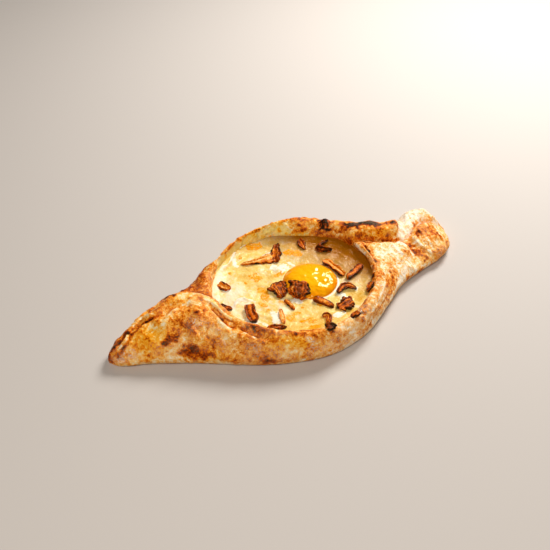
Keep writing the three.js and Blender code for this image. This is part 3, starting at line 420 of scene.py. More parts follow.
# strings and folds of the melted cheese: path, width, rise
CHEESE_FOLDS = [
    ([(-53, -13), (-48, -8), (-43, -6), (-37, -11)], 1.5, 1.1),
    ([(-45, 28), (-37, 32), (-33, 36), (-27, 42)], 1.0, 0.8),
    ([(-24, 44), (-17, 47)], 1.0, 0.8),
    ([(0, 34), (-5, 33), (-10, 32)], 0.9, 0.7),
    ([(-44, -20), (-36, -26), (-32, -34)], 2.0, 0.7),
    ([(-22, -24), (-24, -32), (-30, -40)], 1.6, 0.6),
    ([(36, 20), (44, 12), (46, 2)], 1.3, 0.5),
    ([(30, 14), (38, 4), (40, -6)], 1.1, 0.4),
    ([(-30, 6), (-20, -2), (-14, 4)], 2.0, 0.6),
    ([(-46, 12), (-36, 20), (-24, 16)], 2.2, 0.6),
    ([(2, -44), (14, -52), (4, -55)], 1.6, 0.6),
]
# browned spots on the cheese, and glossy white patches, a few of them painted glints: radius, strength, path
CHEESE_BROWN = [
    (3.2, 0.75, [(-26, 13), (-25, 10)]), (2.6, 0.80, [(-26, -2), (-26, -7), (-28, -13)]),
    (2.4, 0.55, [(-33, -15), (-31, -18)]), (2.8, 0.85, [(8, 28), (12, 26), (16, 23)]),
    (2.4, 0.80, [(-15, -35)]), (3.0, 0.75, [(-22, -36), (-20, -39)]), (2.2, 0.75, [(-15, -44)]),
    (2.6, 0.80, [(-11, -45), (-8, -46)]), (2.4, 0.50, [(-10, 7), (-6, 7)]),
    (2.6, 0.45, [(2, -34), (5, -33)]), (2.4, 0.60, [(-13, -52), (-9, -53)]),
    (1.5, 0.70, [(-34, 9)]), (1.4, 0.45, [(-9, -31)]), (1.6, 0.45, [(-31, -23)]),
    (2.4, 0.40, [(-20, -18), (-18, -22)]), (3.0, 0.45, [(-16, 44), (-9, 43)]),
    (2.0, 0.40, [(-26, 36)]), (1.4, 0.40, [(-40, 24)]), (1.8, 0.40, [(4, -48)]),
]
CHEESE_WHITE_AND_GLINTS = [
    (5.5, 0.80, [(-7, 15), (-3, 13)]), (3.2, 0.90, [(-30, -28), (-32, -37)]),
    (2.8, 0.90, [(-49, -27), (-47, -31)]), (2.6, 0.80, [(-33, 35), (-33, 30)]),
    (3.6, 0.80, [(23, -35), (22, -29)]), (2.4, 0.80, [(-51, 11), (-49, 6)]),
    # Painted glint lines among the white patches.
    (1.6, 0.80, [(4, 17), (6, 12)]), (2.6, 0.85, [(7, -49), (12, -49)]),
    (9.0, 0.45, [(-50, 0), (-42, 4)]), (3.0, 0.70, [(-12, -22), (-8, -25)]),
    (1.6, 0.80, [(-2, -23)]), (4.0, 0.45, [(-22, -24), (-22, -31)]),
    (1.2, 0.70, [(-45, 28), (-37, 32), (-33, 36), (-27, 43)]), (1.2, 0.75, [(-24, 44), (-17, 47)]),
    (1.0, 0.80, [(0, 34), (-5, 33), (-10, 32)]), (2.0, 0.55, [(-52, -11), (-45, -6), (-37, -11)]),
    (1.4, 0.60, [(-42, -30), (-38, -40)]), (2.4, 0.60, [(30, -22), (34, -30)]),
    (3.0, 0.50, [(-40, -14), (-46, -10)]), (2.0, 0.50, [(18, -44), (26, -48)]),
]

# Mushroom pieces: path in plan, widths and thickness, how far the long edges are raised, roll in
# degrees about the length, lifts of the middle line over the cheese; then the looks: browning,
# number of gills, raggedness, charring of the edges, and paleness of the core.
MUSHROOMS = [
    ("mushroom_cap_upright", [(4.2, 37.5), (-0.2, 29), (-4, 20)], (5.5, 7.5, 6), 3.2, 0.8, 24,
     (2.6, 1.6, 1.4), (0.58, 4, 0.6, 1.0, 0.3)),
    ("mushroom_long_stem", [(-29.4, 29.2), (-18, 26.4), (-3.6, 25.8)], (1.8, 5, 13), 2.4, 0.5, 8,
     (0.3, 0.8, 1.4), (0.29, 3, 0.3, 0.6, 0.4)),
    ("mushroom_by_high_wall", [(23, 36.5), (22.3, 30.5), (21.8, 25)], (4, 5, 3.6), 2.8, 0.6, 15,
     (1.4, 1, 0.6), (0.66, 3, 0.6, 0.5, 0.5)),
    ("mushroom_hook", [(42.4, 26.2), (31.8, 22.2), (40.4, 15.6)], (3.4, 5, 4.8), 2.4, 0, 56,
     (1.4, 1.4, 1.6), (0.62, 2, 0.5, 0.8, 0.0)),
    ("mushroom_gutter", [(28.2, 6.6), (31.2, -4.6), (33.4, -14.4)], (8.2, 6.8, 5.2), 2.4, 1.3, -8,
     (2.2, 1.9, 1.2), (0.48, 3, 0.3, 0.5, 0.5)),
    ("mushroom_roll", [(50.5, -10.6), (41.8, -15), (33.2, -19.4)], (4.6, 4.6, 4.2), 3.4, 0.8, 10,
     (2.2, 1.8, 1.3), (0.60, 1, 0.3, 1.0, 0.0)),
    ("mushroom_fork", [(20.5, -29.6), (28.2, -26), (33.4, -31.6)], (4.8, 5, 3), 2.4, 0.4, 8,
     (1, 1.5, 0.9), (0.64, 2, 0.6, 0.5, 0.2)),
    ("mushroom_stick", [(1, -28.4), (6.2, -34.6), (10.4, -41)], (4.4, 5, 3.6), 3.4, 0.3, 12,
     (1.6, 1.5, 0.9), (0.45, 1, 0.15, 0.2, 0.0)),
    ("mushroom_frill", [(12.3, -44), (18.5, -42.8), (25, -41.2)], (6, 10, 11), 2.6, 0.9, 6,
     (1, 1.5, 1.9), (0.56, 5, 0.8, 1.1, 0.3)),
    ("mushroom_fan_left", [(-16.7, -16.2), (-15.8, -8.8), (-14.6, -2.2)], (5, 11.4, 13), 2.4, -0.5, -10,
     (1.1, 1.9, 2.4), (0.50, 6, 0.7, 0.9, 0.0)),
    ("mushroom_fan_dark", [(-8, -23.6), (-4.7, -18.1), (-1.9, -13.4)], (9.6, 12.6, 11.6), 2.4, -0.6, 8,
     (1.9, 5.2, 7.6), (0.54, 6, 0.8, 1.3, 0.0)),
    ("mushroom_thin_stem", [(-16.7, -19), (-16, -24.6), (-15.3, -31.3)], (2.6, 3.2, 2.6), 2.2, 0, 0,
     (0.7, 0.9, 0.7), (0.45, 1, 0.2, 0.7, 0.0)),
    ("mushroom_thick_roll", [(-41.6, -15), (-44.2, -22.6), (-44.4, -31)], (7, 8, 6.8), 4.2, 0.9, 14,
     (2, 2.2, 1.8), (0.53, 2, 0.3, 0.9, 0.2)),
    ("mushroom_pale_fan", [(-52.6, 14.6), (-50.6, 10.6), (-48, 6.2)], (5, 7, 6.4), 2.2, 0.4, 18,
     (1.4, 1, 0.6), (0.46, 4, 0.8, 0.5, 0.7)),
    ("mushroom_under_low_rim", [(-60.5, -5.8), (-57.5, -10), (-53.7, -12.5)], (3, 4, 3), 2.2, 0.2, 10,
     (0.9, 0.9, 0.7), (0.58, 2, 0.3, 0.5, 0.0)),
    ("mushroom_curl", [(-1.1, -45.6), (2.1, -48), (-1.8, -55)], (3, 3.8, 4), 2.4, 0, 30,
     (1, 1.8, 1.6), (0.46, 2, 0.3, 0.4, 0.3)),
    ("mushroom_on_low_rim", [(-6.9, -61), (-4.6, -62.6), (-1.9, -64)], (5, 6.6, 5), 2.2, 0.3, 0,
     (5.3, 6.1, 6.1), (0.70, 3, 0.8, 1.0, 0.0)),
    ("mushroom_at_low_lip", [(-39.2, -41), (-34.8, -42.6), (-30, -44.9)], (3, 4.4, 3), 2.2, 0.5, -6,
     (0.8, 1.4, 0.8), (0.58, 3, 1.0, 1.0, 0.2)),
    ("mushroom_at_right_lip", [(38.6, -38.6), (42.4, -35.6), (46, -31.8)], (3.6, 5, 4), 2.2, 0.3, -26,
     (2, 2.6, 2.8), (0.64, 3, 0.4, 0.7, 0.2)),
    ("mushroom_below_right_lip", [(14.1, -57.4), (17.2, -57.6), (20.8, -57.8)], (4, 5, 4), 2.2, 0.3, -10,
     (2.8, 3.8, 4.8), (0.62, 3, 0.5, 0.8, 0.1)),
    ("mushroom_sunk_stem", [(-23.7, -26.5), (-26.4, -34.6), (-28.3, -41.4)], (2.4, 3.8, 3.2), 2.2, 0, 0,
     (0.5, 0.6, 0.4), (0.26, 2, 0.2, 0.1, 0.2)),
]


# ------------------------------------------------------------------ small maths
def smooth(low, high, value):
    """0 below low, 1 above high, and the cubic 3t^2 - 2t^3 between."""
    t = np.clip((value - low) / (high - low), 0, 1)
    return t * t * (3 - 2 * t)


def bell(distance, width):
    """exp(-(distance / width)^2)."""
    return np.exp(-(distance / width) ** 2)


def hermite(s):
    """Weights of the start, its slope, the end and its slope in a cubic at share s."""
    return 2 * s**3 - 3 * s**2 + 1, s**3 - 2 * s**2 + s, 3 * s**2 - 2 * s**3, s**3 - s**2


def along(keys, u):
    """Cubic through keys (u, value...), whose slope at a key is that between its neighbours."""
    table = np.asarray(keys, float)
    at, value = table[:, 0], table[:, 1:]
    before = np.maximum(np.arange(len(at)) - 1, 0)
    after = np.minimum(np.arange(len(at)) + 1, len(at) - 1)
    slope = (value[after] - value[before]) / (at[after] - at[before])[:, None]
    u = np.clip(np.asarray(u, float), at[0], at[-1])
    i = np.clip(np.searchsorted(at, u, side="right") - 1, 0, len(at) - 2)
    span = at[i + 1] - at[i]
    a, b, c, d = (w[..., None] for w in hermite((u - at[i]) / span))
    span = span[..., None]
    result = a * value[i] + b * span * slope[i] + c * value[i + 1] + d * span * slope[i + 1]
    return result[..., 0] if result.shape[-1] == 1 else result


def power(value, exponent):
    """Signed power, which squares off a circle."""
    return np.sign(value) * np.abs(value) ** exponent


def noise(points, size, seed):
    """Random values from -1 to 1 on a cubic lattice of that cell size, blended by the smooth cubic."""
    cell = points / size + 57.31 * seed
    base = np.floor(cell).astype(np.int64)
    share = cell - base
    share = share * share * (3 - 2 * share)
    total = np.zeros(points.shape[:-1])
    for corner in np.ndindex(2, 2, 2):
        x, y, z = np.moveaxis(base + np.array(corner), -1, 0)
        key = (x * 73856093 ^ y * 19349663 ^ z * 83492791 ^ seed * 15485863) & 0x7FFFFFFF
        key = ((key ^ (key >> 13)) * 1274126177) & 0x7FFFFFFF
        key = ((key ^ (key >> 15)) * 668265263) & 0x7FFFFFFF
        value = (key >> 7) % 20001 / 10000.0 - 1
        total += value * np.prod(np.where(corner, share, 1 - share), -1)
    return total


def away_from(path, points, normals=None):
    """Distance from each point to a polyline, how far along it the nearest place lies, and the side.

    The side is +1 on the left of the path, seen from outside along the normals, and -1 on its right.
    """
    best = np.full(points.shape[:-1], np.inf)
    share = np.zeros(points.shape[:-1])
    side = np.ones(points.shape[:-1])
    pairs = list(zip(path[:-1], path[1:])) or [(path[0], path[0])]
    for k, (a, b) in enumerate(pairs):
        span = b - a
        t = np.clip(((points - a) @ span) / max(span @ span, 1e-9), 0, 1)
        offset = points - a - t[..., None] * span
        distance = np.linalg.norm(offset, axis=-1)
        nearer = distance < best
        best = np.where(nearer, distance, best)
        share = np.where(nearer, (k + t) / len(pairs), share)
        if normals is not None:
            left = np.sign((np.cross(normals, span) * offset).sum(-1))
            side = np.where(nearer, left, side)
    return best, share, side


def round_about(path, reach, points):
    """Which points lie in the box round a path, grown by reach on every side."""
    return ((points > path.min(0) - reach) & (points < path.max(0) + reach)).all(-1)


def cover(marks, points, ragged):
    """How strongly a list of marks covers each point: 1 - product of (1 - strength x falloff).

    The falloff is 1 within 0.3 of the radius round the mark's path and 0 beyond 1.3, and ragged
    is added to the distance in radii, which breaks up the edge.
    """
    bare = np.ones(len(points))
    for radius, strength, path in marks:
        path = np.asarray(path, float)
        near = round_about(path, 2 * radius + 1, points)
        distance = away_from(path, points[near])[0] / radius + ragged[near]
        bare[near] *= 1 - strength * (1 - smooth(0.3, 1.3, distance))
    return 1 - bare


# ------------------------------------------------------------------ meshes
def put_mesh(name, grid, values, material):
    """Makes a closed mesh from a grid of points whose columns run round it.

    The first and last rows shrink to single points. values holds one number per grid point for each
    attribute that the material reads.
    """
    rows, columns = grid.shape[:2]
    ring = grid[1:-1].reshape(-1, 3)
    points = np.concatenate([grid[0].mean(0)[None], ring, grid[-1].mean(0)[None]])
    index = 1 + np.arange(len(ring)).reshape(-1, columns)
    here, beyond = index[:-1], index[1:]
    quads = np.stack([here, np.roll(here, -1, 1), np.roll(beyond, -1, 1), beyond], -1).reshape(-1, 4)
    first = np.stack([np.zeros(columns, int), np.roll(index[0], -1), index[0]], -1)
    last = np.stack([np.full(columns, len(points) - 1), index[-1], np.roll(index[-1], -1)], -1)
    halves = np.concatenate([quads[:, [0, 1, 2]], quads[:, [0, 2, 3]]])
    a, b, c = (points[halves[:, i]] for i in range(3))
    if (a * np.cross(b, c)).sum() < 0:
        quads, first, last = quads[:, ::-1], first[:, ::-1], last[:, ::-1]
    mesh = bpy.data.meshes.new(name)
    faces = quads.tolist() + first.tolist() + last.tolist()
    mesh.from_pydata(((points - MIDDLE) * MM).tolist(), [], faces)
    for label, field in values.items():
        field = np.broadcast_to(field, (rows, columns))
        flat = np.concatenate([[field[0].mean()], field[1:-1].reshape(-1), [field[-1].mean()]])
        attribute = mesh.attributes.new(label, "FLOAT", "POINT")
        attribute.data.foreach_set("value", flat.astype(np.float32))
    mesh.polygons.foreach_set("use_smooth", np.ones(len(mesh.polygons), bool))
    mesh.materials.append(material)
    mesh.update()
    piece = bpy.data.objects.new(name, mesh)
    bpy.context.scene.collection.objects.link(piece)
    return piece


def outward(grid):
    """Unit normals of a grid whose columns run round a closed body, turned to point outwards."""
    down = np.gradient(grid, axis=0)
    around = np.roll(grid, -1, 1) - np.roll(grid, 1, 1)
    normal = np.cross(around, down)
    normal /= np.linalg.norm(normal, axis=-1, keepdims=True) + 1e-9
    away = grid - grid.mean((0, 1))
    return normal * np.sign((normal * away).sum())


# ------------------------------------------------------------------ the dough
def mouth(angle, grow=0.0):
    """Superellipse in plan at an angle in degrees, pushed out by grow and by a bell at one corner."""
    c, s = np.cos(np.radians(angle)), np.sin(np.radians(angle))
    out = grow + CORNER_BULGE * bell(angle % 360 - CORNER_ANGLE, CORNER_SPREAD)
    x = MOUTH_X + (MOUTH_HALF_LENGTH + out) * power(c, 2 / MOUTH_POWER)
    y = MOUTH_Y + (MOUTH_HALF_WIDTH + out) * power(s, 2 / MOUTH_POWER)
    return np.stack([x, y], -1)


def undercut(angle):
    """How far the inner wall stands outside the lip at an angle on the mouth's outline."""
    return along(UNDERCUT, angle % 360)


def side_rails(foot, lip, crest, flap, rim, rim_share):
    """Rails of one side, from the underside round the foot, up the wall and over the crest to the lip."""
    width = np.linalg.norm(lip - foot, axis=1)
    inward = (lip - foot) / np.maximum(width, 1e-6)[:, None]
    corner = np.minimum(np.minimum(FOOT_ROUND, 0.36 * crest), 0.45 * width + 0.2)
    arc = 1 - np.sqrt(0.5)
    reach = [np.minimum(1.4 * corner, 0.5 * width), corner * arc, 0 * crest]
    height = [0 * crest, 0.75 * corner * arc, corner]
    for (flap_across, flap_up), (rim_across, rim_up) in zip(flap, rim):
        reach.append((flap_across + (rim_across - flap_across) * rim_share) * width)
        height.append((flap_up + (rim_up - flap_up) * rim_share) * crest)
    return [np.c_[foot + inward * out[:, None], up] for out, up in zip(reach, height)]


def raw_sections(u):
    """Closed sections at each u as rings of 22 rails: underside, low side, floor, high side."""
    near, far = along(NEAR_FOOT, u), along(FAR_FOOT, u)
    near_crest, far_crest = along(NEAR_CREST, u), along(FAR_CREST, u)
    q = np.clip((u - U_OPEN) / (U_SHUT - U_OPEN), 0, 1)
    near_angle = OPEN_ANGLE + (360 + SHUT_ANGLE - OPEN_ANGLE) * along(NEAR_LIP_PACE, q)
    far_angle = OPEN_ANGLE - (OPEN_ANGLE - SHUT_ANGLE) * along(FAR_LIP_PACE, q)
    near_out, far_out = undercut(near_angle), undercut(far_angle)
    walls = [mouth(near_angle, near_out), mouth(far_angle, far_out)]
    inset = np.minimum(FLOOR_INSET, 0.3 * np.linalg.norm(walls[0] - walls[1], axis=1))
    lips = [mouth(near_angle), mouth(far_angle)]
    floors = [mouth(near_angle, near_out - inset), mouth(far_angle, far_out - inset)]
    across = (far - near) / (np.linalg.norm(far - near, axis=1)[:, None] + 1e-9)
    half = np.minimum(0.5, 0.02 + 4 * np.minimum(u, 1 - u))[:, None]
    for part, seam in ((u < U_OPEN, LEFT_SEAM), (u > U_SHUT, RIGHT_SEAM)):
        middle = along(seam, u)
        for pair, share in ((lips, 1), (walls, 0.7), (floors, 0.5)):
            for place, sign in ((0, -1), (1, 1)):
                closed = middle + sign * share * half * across
                pair[place] = np.where(part[:, None], closed, pair[place])
    opening = smooth(U_OPEN - 0.008, U_OPEN + 0.004, u) * (1 - smooth(U_SHUT - 0.002, U_SHUT + 0.010, u))
    rim_share = smooth(U_OPEN - 0.10, U_OPEN + 0.06, u) * (1 - smooth(U_SHUT - 0.12, U_SHUT + 0.06, u))
    groove = GROOVE * np.minimum(1, np.minimum(u, 1 - u) / 0.06)
    low = np.minimum(near_crest, far_crest)
    wall_z = (low - 0.55 * groove) * (1 - opening) + WALL_LEVEL * opening
    floor_z = (low - groove) * (1 - opening) + (FLOOR_LEVEL + 1) * opening
    middle_z = (low - groove - 0.3) * (1 - opening) + FLOOR_LEVEL * opening
    near_side = side_rails(near, lips[0], near_crest, NEAR_FLAP, NEAR_RIM, rim_share)
    near_side += [np.c_[walls[0], wall_z], np.c_[floors[0], floor_z]]
    far_side = side_rails(far, lips[1], far_crest, FAR_FLAP, FAR_RIM, rim_share)
    far_side += [np.c_[walls[1], wall_z], np.c_[floors[1], floor_z]]
    underside = np.c_[(near + far) / 2, 0 * u]
    floor_middle = np.c_[(floors[0] + floors[1]) / 2, middle_z]
    return np.stack([underside, *near_side, floor_middle, *far_side[::-1]], 1)


def sections(u):
    """Sections averaged over five neighbours with binomial weights, which rounds off sudden turns."""
    weights = (1, 4, 6, 4, 1)
    steps = (np.arange(5) - 2) * SMOOTHING
    return sum(w / 16 * raw_sections(np.clip(u + step, 0, 1)) for w, step in zip(weights, steps))


def closed_spline(rails, steps):
    """Closed cubic through the rails of each ring, with chord-weighted slopes and steps[i] points a span."""
    ahead = np.roll(rails, -1, 1) - rails
    chord = np.linalg.norm(ahead, axis=2, keepdims=True) + 1e-6
    behind, behind_chord = np.roll(ahead, 1, 1), np.roll(chord, 1, 1)
    slope = (ahead / chord * behind_chord + behind / behind_chord * chord) / (chord + behind_chord)
    following, following_slope = np.roll(rails, -1, 1), np.roll(slope, -1, 1)
    spans = []
    for i, count in enumerate(steps):
        a, b, c, d = (w[None, :, None] for w in hermite(np.arange(count) / count))
        spans.append(a * rails[:, i, None] + b * (chord * slope)[:, i, None]
                     + c * following[:, i, None] + d * (chord * following_slope)[:, i, None])
    return np.concatenate(spans, 1)


def stations(count):
    """Values of u from 0 to 1, closer together at the tips and at the mouth's corners."""
    keys = (0, 0.03, 0.10, U_OPEN - 0.012, U_OPEN + 0.03, 0.5, U_SHUT - 0.05, U_SHUT + 0.012,
            0.83, 0.88, 0.96, 1)
    shares = np.array((3, 4, 9, 4, 12, 12, 5, 5, 5, 6, 4))
    counts = np.round(count * shares / shares.sum()).astype(int)
    spans = [a + (b - a) * np.arange(n) / n for a, b, n in zip(keys, keys[1:], counts)]
    return np.concatenate(spans + [[1.0]])


def relief(points):
    """Height that creases and blisters add: bells across each crease's path and round each blister."""
    height = np.zeros(points.shape[:-1])
    for path, width, depth in CREASES:
        distance, share, _ = away_from(np.asarray(path, float), points[..., :2])
        ends = smooth(0, 0.2, share) * smooth(0, 0.2, 1 - share)
        height -= depth * ends * bell(distance, width)
    for x, y, radius, rise in BLISTERS:
        height += rise * bell(np.hypot(points[..., 0] - x, points[..., 1] - y), radius)
    return height


BREAD_STATIONS = 520
BREAD_STEPS = (3, 4, 6, 9, 13, 14, 12, 10, 10, 6, 3, 3, 6, 10, 9, 9, 10, 12, 10, 6, 4, 3)
RAILS = len(BREAD_STEPS)
CREST_KNEE, CREST_SLACK = 27.8, 1.5     # above the knee, relief flattens off within the slack
# textures of the dough, by noise of seeds 1 to 4: size in mm, rise in mm, browning
TEXTURES = ((13, 0.45, 0.10), (6, 0.30, 0.13), (2.6, 0.20, 0.12), (1.3, 0.12, 0.07))
# bubbles, by the peaks within BUBBLE_BAND of noise of seeds 5 and 6: size, rise
BUBBLES = ((6.5, 0.75), (3.2, 0.40))
BUBBLE_BAND = (0.25, 0.85)
BLISTERED_U, BLISTERED_SPREAD, BLISTERED_MORE = 0.45, 0.16, 0.9     # extra bubbles of the high side
MARK_BROWNING, STREAK_BROWNING, BUBBLE_BROWNING = 0.62, 0.12, 0.14
FOOT_PALENESS, CHEESE_PALENESS = 0.10, 0.40
TAIL_FROM, TAIL_TO = 0.72, 0.82         # where the streaks turn from lengthwise to crosswise


def bread_surface():
    """The dough's grid, u of each row, and each column's rail, counted from the underside on both sides."""
    u = stations(BREAD_STATIONS)
    grid = closed_spline(sections(u), BREAD_STEPS)
    rail = np.concatenate([i + np.arange(n) / n for i, n in enumerate(BREAD_STEPS)])
    place = np.minimum(rail, RAILS - rail)
    on_top = smooth(2.5, 4.5, place) * (1 - smooth(7.5, 9, place))
    grid[..., 2] = np.maximum(0, grid[..., 2] + on_top * relief(grid))
    return grid, u[:, None], place[None, :], (rail > RAILS / 2)[None, :]


SHEET_STEP = 0.45                       # half the width of a sheet's edge
FOLD_REACH, FOLD_FADE = 2.6, 0.14       # reach in widths, and share of the path that fades at each end


def fold_profile(shape, width, distance, side):
    """A bell for a ridge, the same turned over for a groove, and a step that fades for a sheet's edge."""
    if shape == "sheet":
        return smooth(-SHEET_STEP, SHEET_STEP, distance * side) * bell(distance, width)
    return bell(distance, width) * (1 if shape == "ridge" else -1)


def folds(points, normals):
    """Rise and browning of every fold, fading towards both ends; the browning is mostly painted shade in
    grooves and painted highlight on ridges.
    """
    rise, browning = np.zeros(len(points)), np.zeros(len(points))
    for shape, width, height, tone, path in FOLDS:
        path = np.asarray(path, float)
        near = round_about(path, FOLD_REACH * width + 1, points)
        distance, share, side = away_from(path, points[near], normals[near])
        ends = smooth(0, FOLD_FADE, share) * smooth(0, FOLD_FADE, 1 - share)
        rise[near] += ends * height * fold_profile(shape, width, distance, side)
        # Painted shade in the grooves and painted highlight on the ridges, by the fold's browning.
        browning[near] += ends * tone * bell(distance, width)
    return rise, browning


def knobs(points):
    """Sum of bells round each knob."""
    rise = np.zeros(len(points))
    for x, y, z, radius, height in KNOBS:
        rise += height * bell(np.linalg.norm(points - (x, y, z), axis=1), radius)
    return rise


def by_side(near_keys, far_keys, u, high_side):
    """A keyed value along the boat, from one table on the low side and one on the high side."""
    return np.where(high_side, along(far_keys, u), along(near_keys, u))


def streaks(points, u, place, high_side):
    """Stretched noise: lengthwise on the boat's sides, and across the dough on the blunt tail."""
    on_tail = smooth(TAIL_FROM, TAIL_TO, u)
    lengthwise = noise(np.stack([60 * u, 2.2 * place, 30.0 * high_side], -1), 1.1, 11)
    crosswise = noise(points * (1, 0.22, 0.4), 1.7, 12)
    return lengthwise * smooth(0.30, 0.45, u) * (1 - on_tail) + 1.3 * crosswise * on_tail


def crust_looks(points, u, place, high_side, textures, bubbles, fold_shade_and_browning):
    """Browning, flour, char, gold and cheese from 0 to 1: bands along the boat, noise and marks, some of
    them painted shade and highlight.
    """
    fine, grain = textures[2:]
    ragged = 0.35 * noise(points, 3.2, 7) + 0.35 * noise(points, 1.5, 8)
    marks = {kind: cover(places, points, ragged) for kind, places in MARKS.items()}
    bake = by_side(NEAR_BROWNING, FAR_BROWNING, u, high_side)
    for texture, (_, _, browning) in zip(textures, TEXTURES):
        bake = bake + browning * texture
    bake += BUBBLE_BROWNING * bubbles
    bake += STREAK_BROWNING * streaks(points, u, place, high_side)
    bake += fold_shade_and_browning + MARK_BROWNING * (marks["brown"] - marks["pale"])
    foot = (1 - smooth(2.2, 3.4, place)) * smooth(1.2, 2.2, place)
    bake -= FOOT_PALENESS * foot + CHEESE_PALENESS * marks["cheese"]
    flour = by_side(NEAR_FLOUR, FAR_FLOUR, u, high_side)
    flour = flour * smooth(-0.2, 0.8, noise(points, 8, 9) + 0.6 * fine) + marks["flour"]
    flour = flour * (0.75 + 0.35 * grain) * (1 - 0.7 * smooth(0.55, 0.8, bake))
    gold = 0.6 * by_side(NEAR_GOLD, FAR_GOLD, u, high_side)
    gold = gold + 0.25 * noise(points, 16, 10) + 0.6 * marks["gold"]
    return {"bake": bake, "flour": flour, "char": marks["char"], "gold": gold, "cheese": marks["cheese"]}


def bread():
    """The baked dough: the smooth boat moved along its normals by lumps, bubbles, folds and knobs."""
    grid, u, place, high_side = bread_surface()
    shape = grid.shape[:2]
    points = grid.reshape(-1, 3)
    normals = outward(grid).reshape(-1, 3)
    u, place, high_side = (np.broadcast_to(field, shape).ravel() for field in (u, place, high_side))
    showing = smooth(1.6, 3, place) * (1 - smooth(9.0, 9.8, place))
    showing = showing * smooth(0, 0.02, u) * smooth(0, 0.02, 1 - u)

    textures = [noise(points, size, seed) for seed, (size, _, _) in enumerate(TEXTURES, 1)]
    bubbles = sum(rise * smooth(*BUBBLE_BAND, noise(points, size, seed))
                  for seed, (size, rise) in enumerate(BUBBLES, 5))
    bubbles *= 1 + BLISTERED_MORE * high_side * bell(u - BLISTERED_U, BLISTERED_SPREAD)
    lumps = sum(rise * texture for texture, (_, rise, _) in zip(textures, TEXTURES)) + bubbles
    fold_rise, fold_shade_and_browning = folds(points, normals)
    rise = lumps + fold_rise + knobs(points)
    moved = points + normals * (showing * rise)[:, None]
    excess = np.maximum(moved[:, 2] - CREST_KNEE, 0)
    moved[:, 2] += CREST_SLACK * np.tanh(excess / CREST_SLACK) - excess
    moved[:, 2] = np.maximum(moved[:, 2], 0)

    looks = crust_looks(points, u, place, high_side, textures, bubbles, fold_shade_and_browning)
    values = {label: np.clip(field, 0, 1).reshape(shape) for label, field in looks.items()}
    return put_mesh("bread_crust", moved.reshape(grid.shape), values, crust_material())


# ------------------------------------------------------------------ the filling
def cheese_height(points):
    """Level of the melted cheese: a flat pool with bells for swells and a rise towards the wall."""
    x, y = points[..., 0], points[..., 1]
    radius = (np.abs((x - MOUTH_X) / MOUTH_HALF_LENGTH) ** MOUTH_POWER
              + np.abs((y - MOUTH_Y) / MOUTH_HALF_WIDTH) ** MOUTH_POWER) ** (1 / MOUTH_POWER)
    height = CHEESE_LEVEL + CHEESE_MENISCUS * smooth(0.84, 1, radius)
    for sx, sy, reach, rise in SWELLS:
        height = height + rise * bell(np.hypot(x - sx, y - sy), reach)
    return height


CHEESE_AROUND, CHEESE_RINGS = 440, 150
YOLK_RIM_WIDTH, YOLK_RIM_RISE = 1.2, 0.8
CHEESE_CLIMB, CLIMB_ANGLE, CLIMB_SPREAD = 3.0, 106, 56      # its creep up the high wall
# waves of the cheese, by noise of seeds 31 to 33: size in mm, height in mm
CHEESE_WAVES = ((8, 0.45), (3.6, 0.20), (1.5, 0.06))


def cheese_relief(flat, spread, by_wall, bearing):
    """Height of the cheese: level, waves, folds, a rim at the yolk and a creep up the high wall."""
    height = cheese_height(flat)
    for seed, (size, wave) in enumerate(CHEESE_WAVES, 31):
        height = height + wave * noise(spread, size, seed)
    for path, width, rise in CHEESE_FOLDS:
        distance, along_it, _ = away_from(np.asarray(path, float), flat)
        ends = smooth(0, 0.2, along_it) * smooth(0, 0.2, 1 - along_it)
        height += rise * ends * bell(distance + 0.4 * noise(spread, 4, 34), width)
    from_yolk = flat - (YOLK_X, YOLK_Y)
    turn = np.degrees(np.arctan2(from_yolk[:, 1], from_yolk[:, 0]))
    rim = bell(np.linalg.norm(from_yolk, axis=1) - YOLK_RADIUS - 0.6, YOLK_RIM_WIDTH)
    rim = rim * (0.25 + 0.75 * bell(turn + 45, 45))
    height += YOLK_RIM_RISE * rim
    height += CHEESE_CLIMB * smooth(0.84, 1, by_wall) * bell(bearing - CLIMB_ANGLE, CLIMB_SPREAD)
    return height, rim


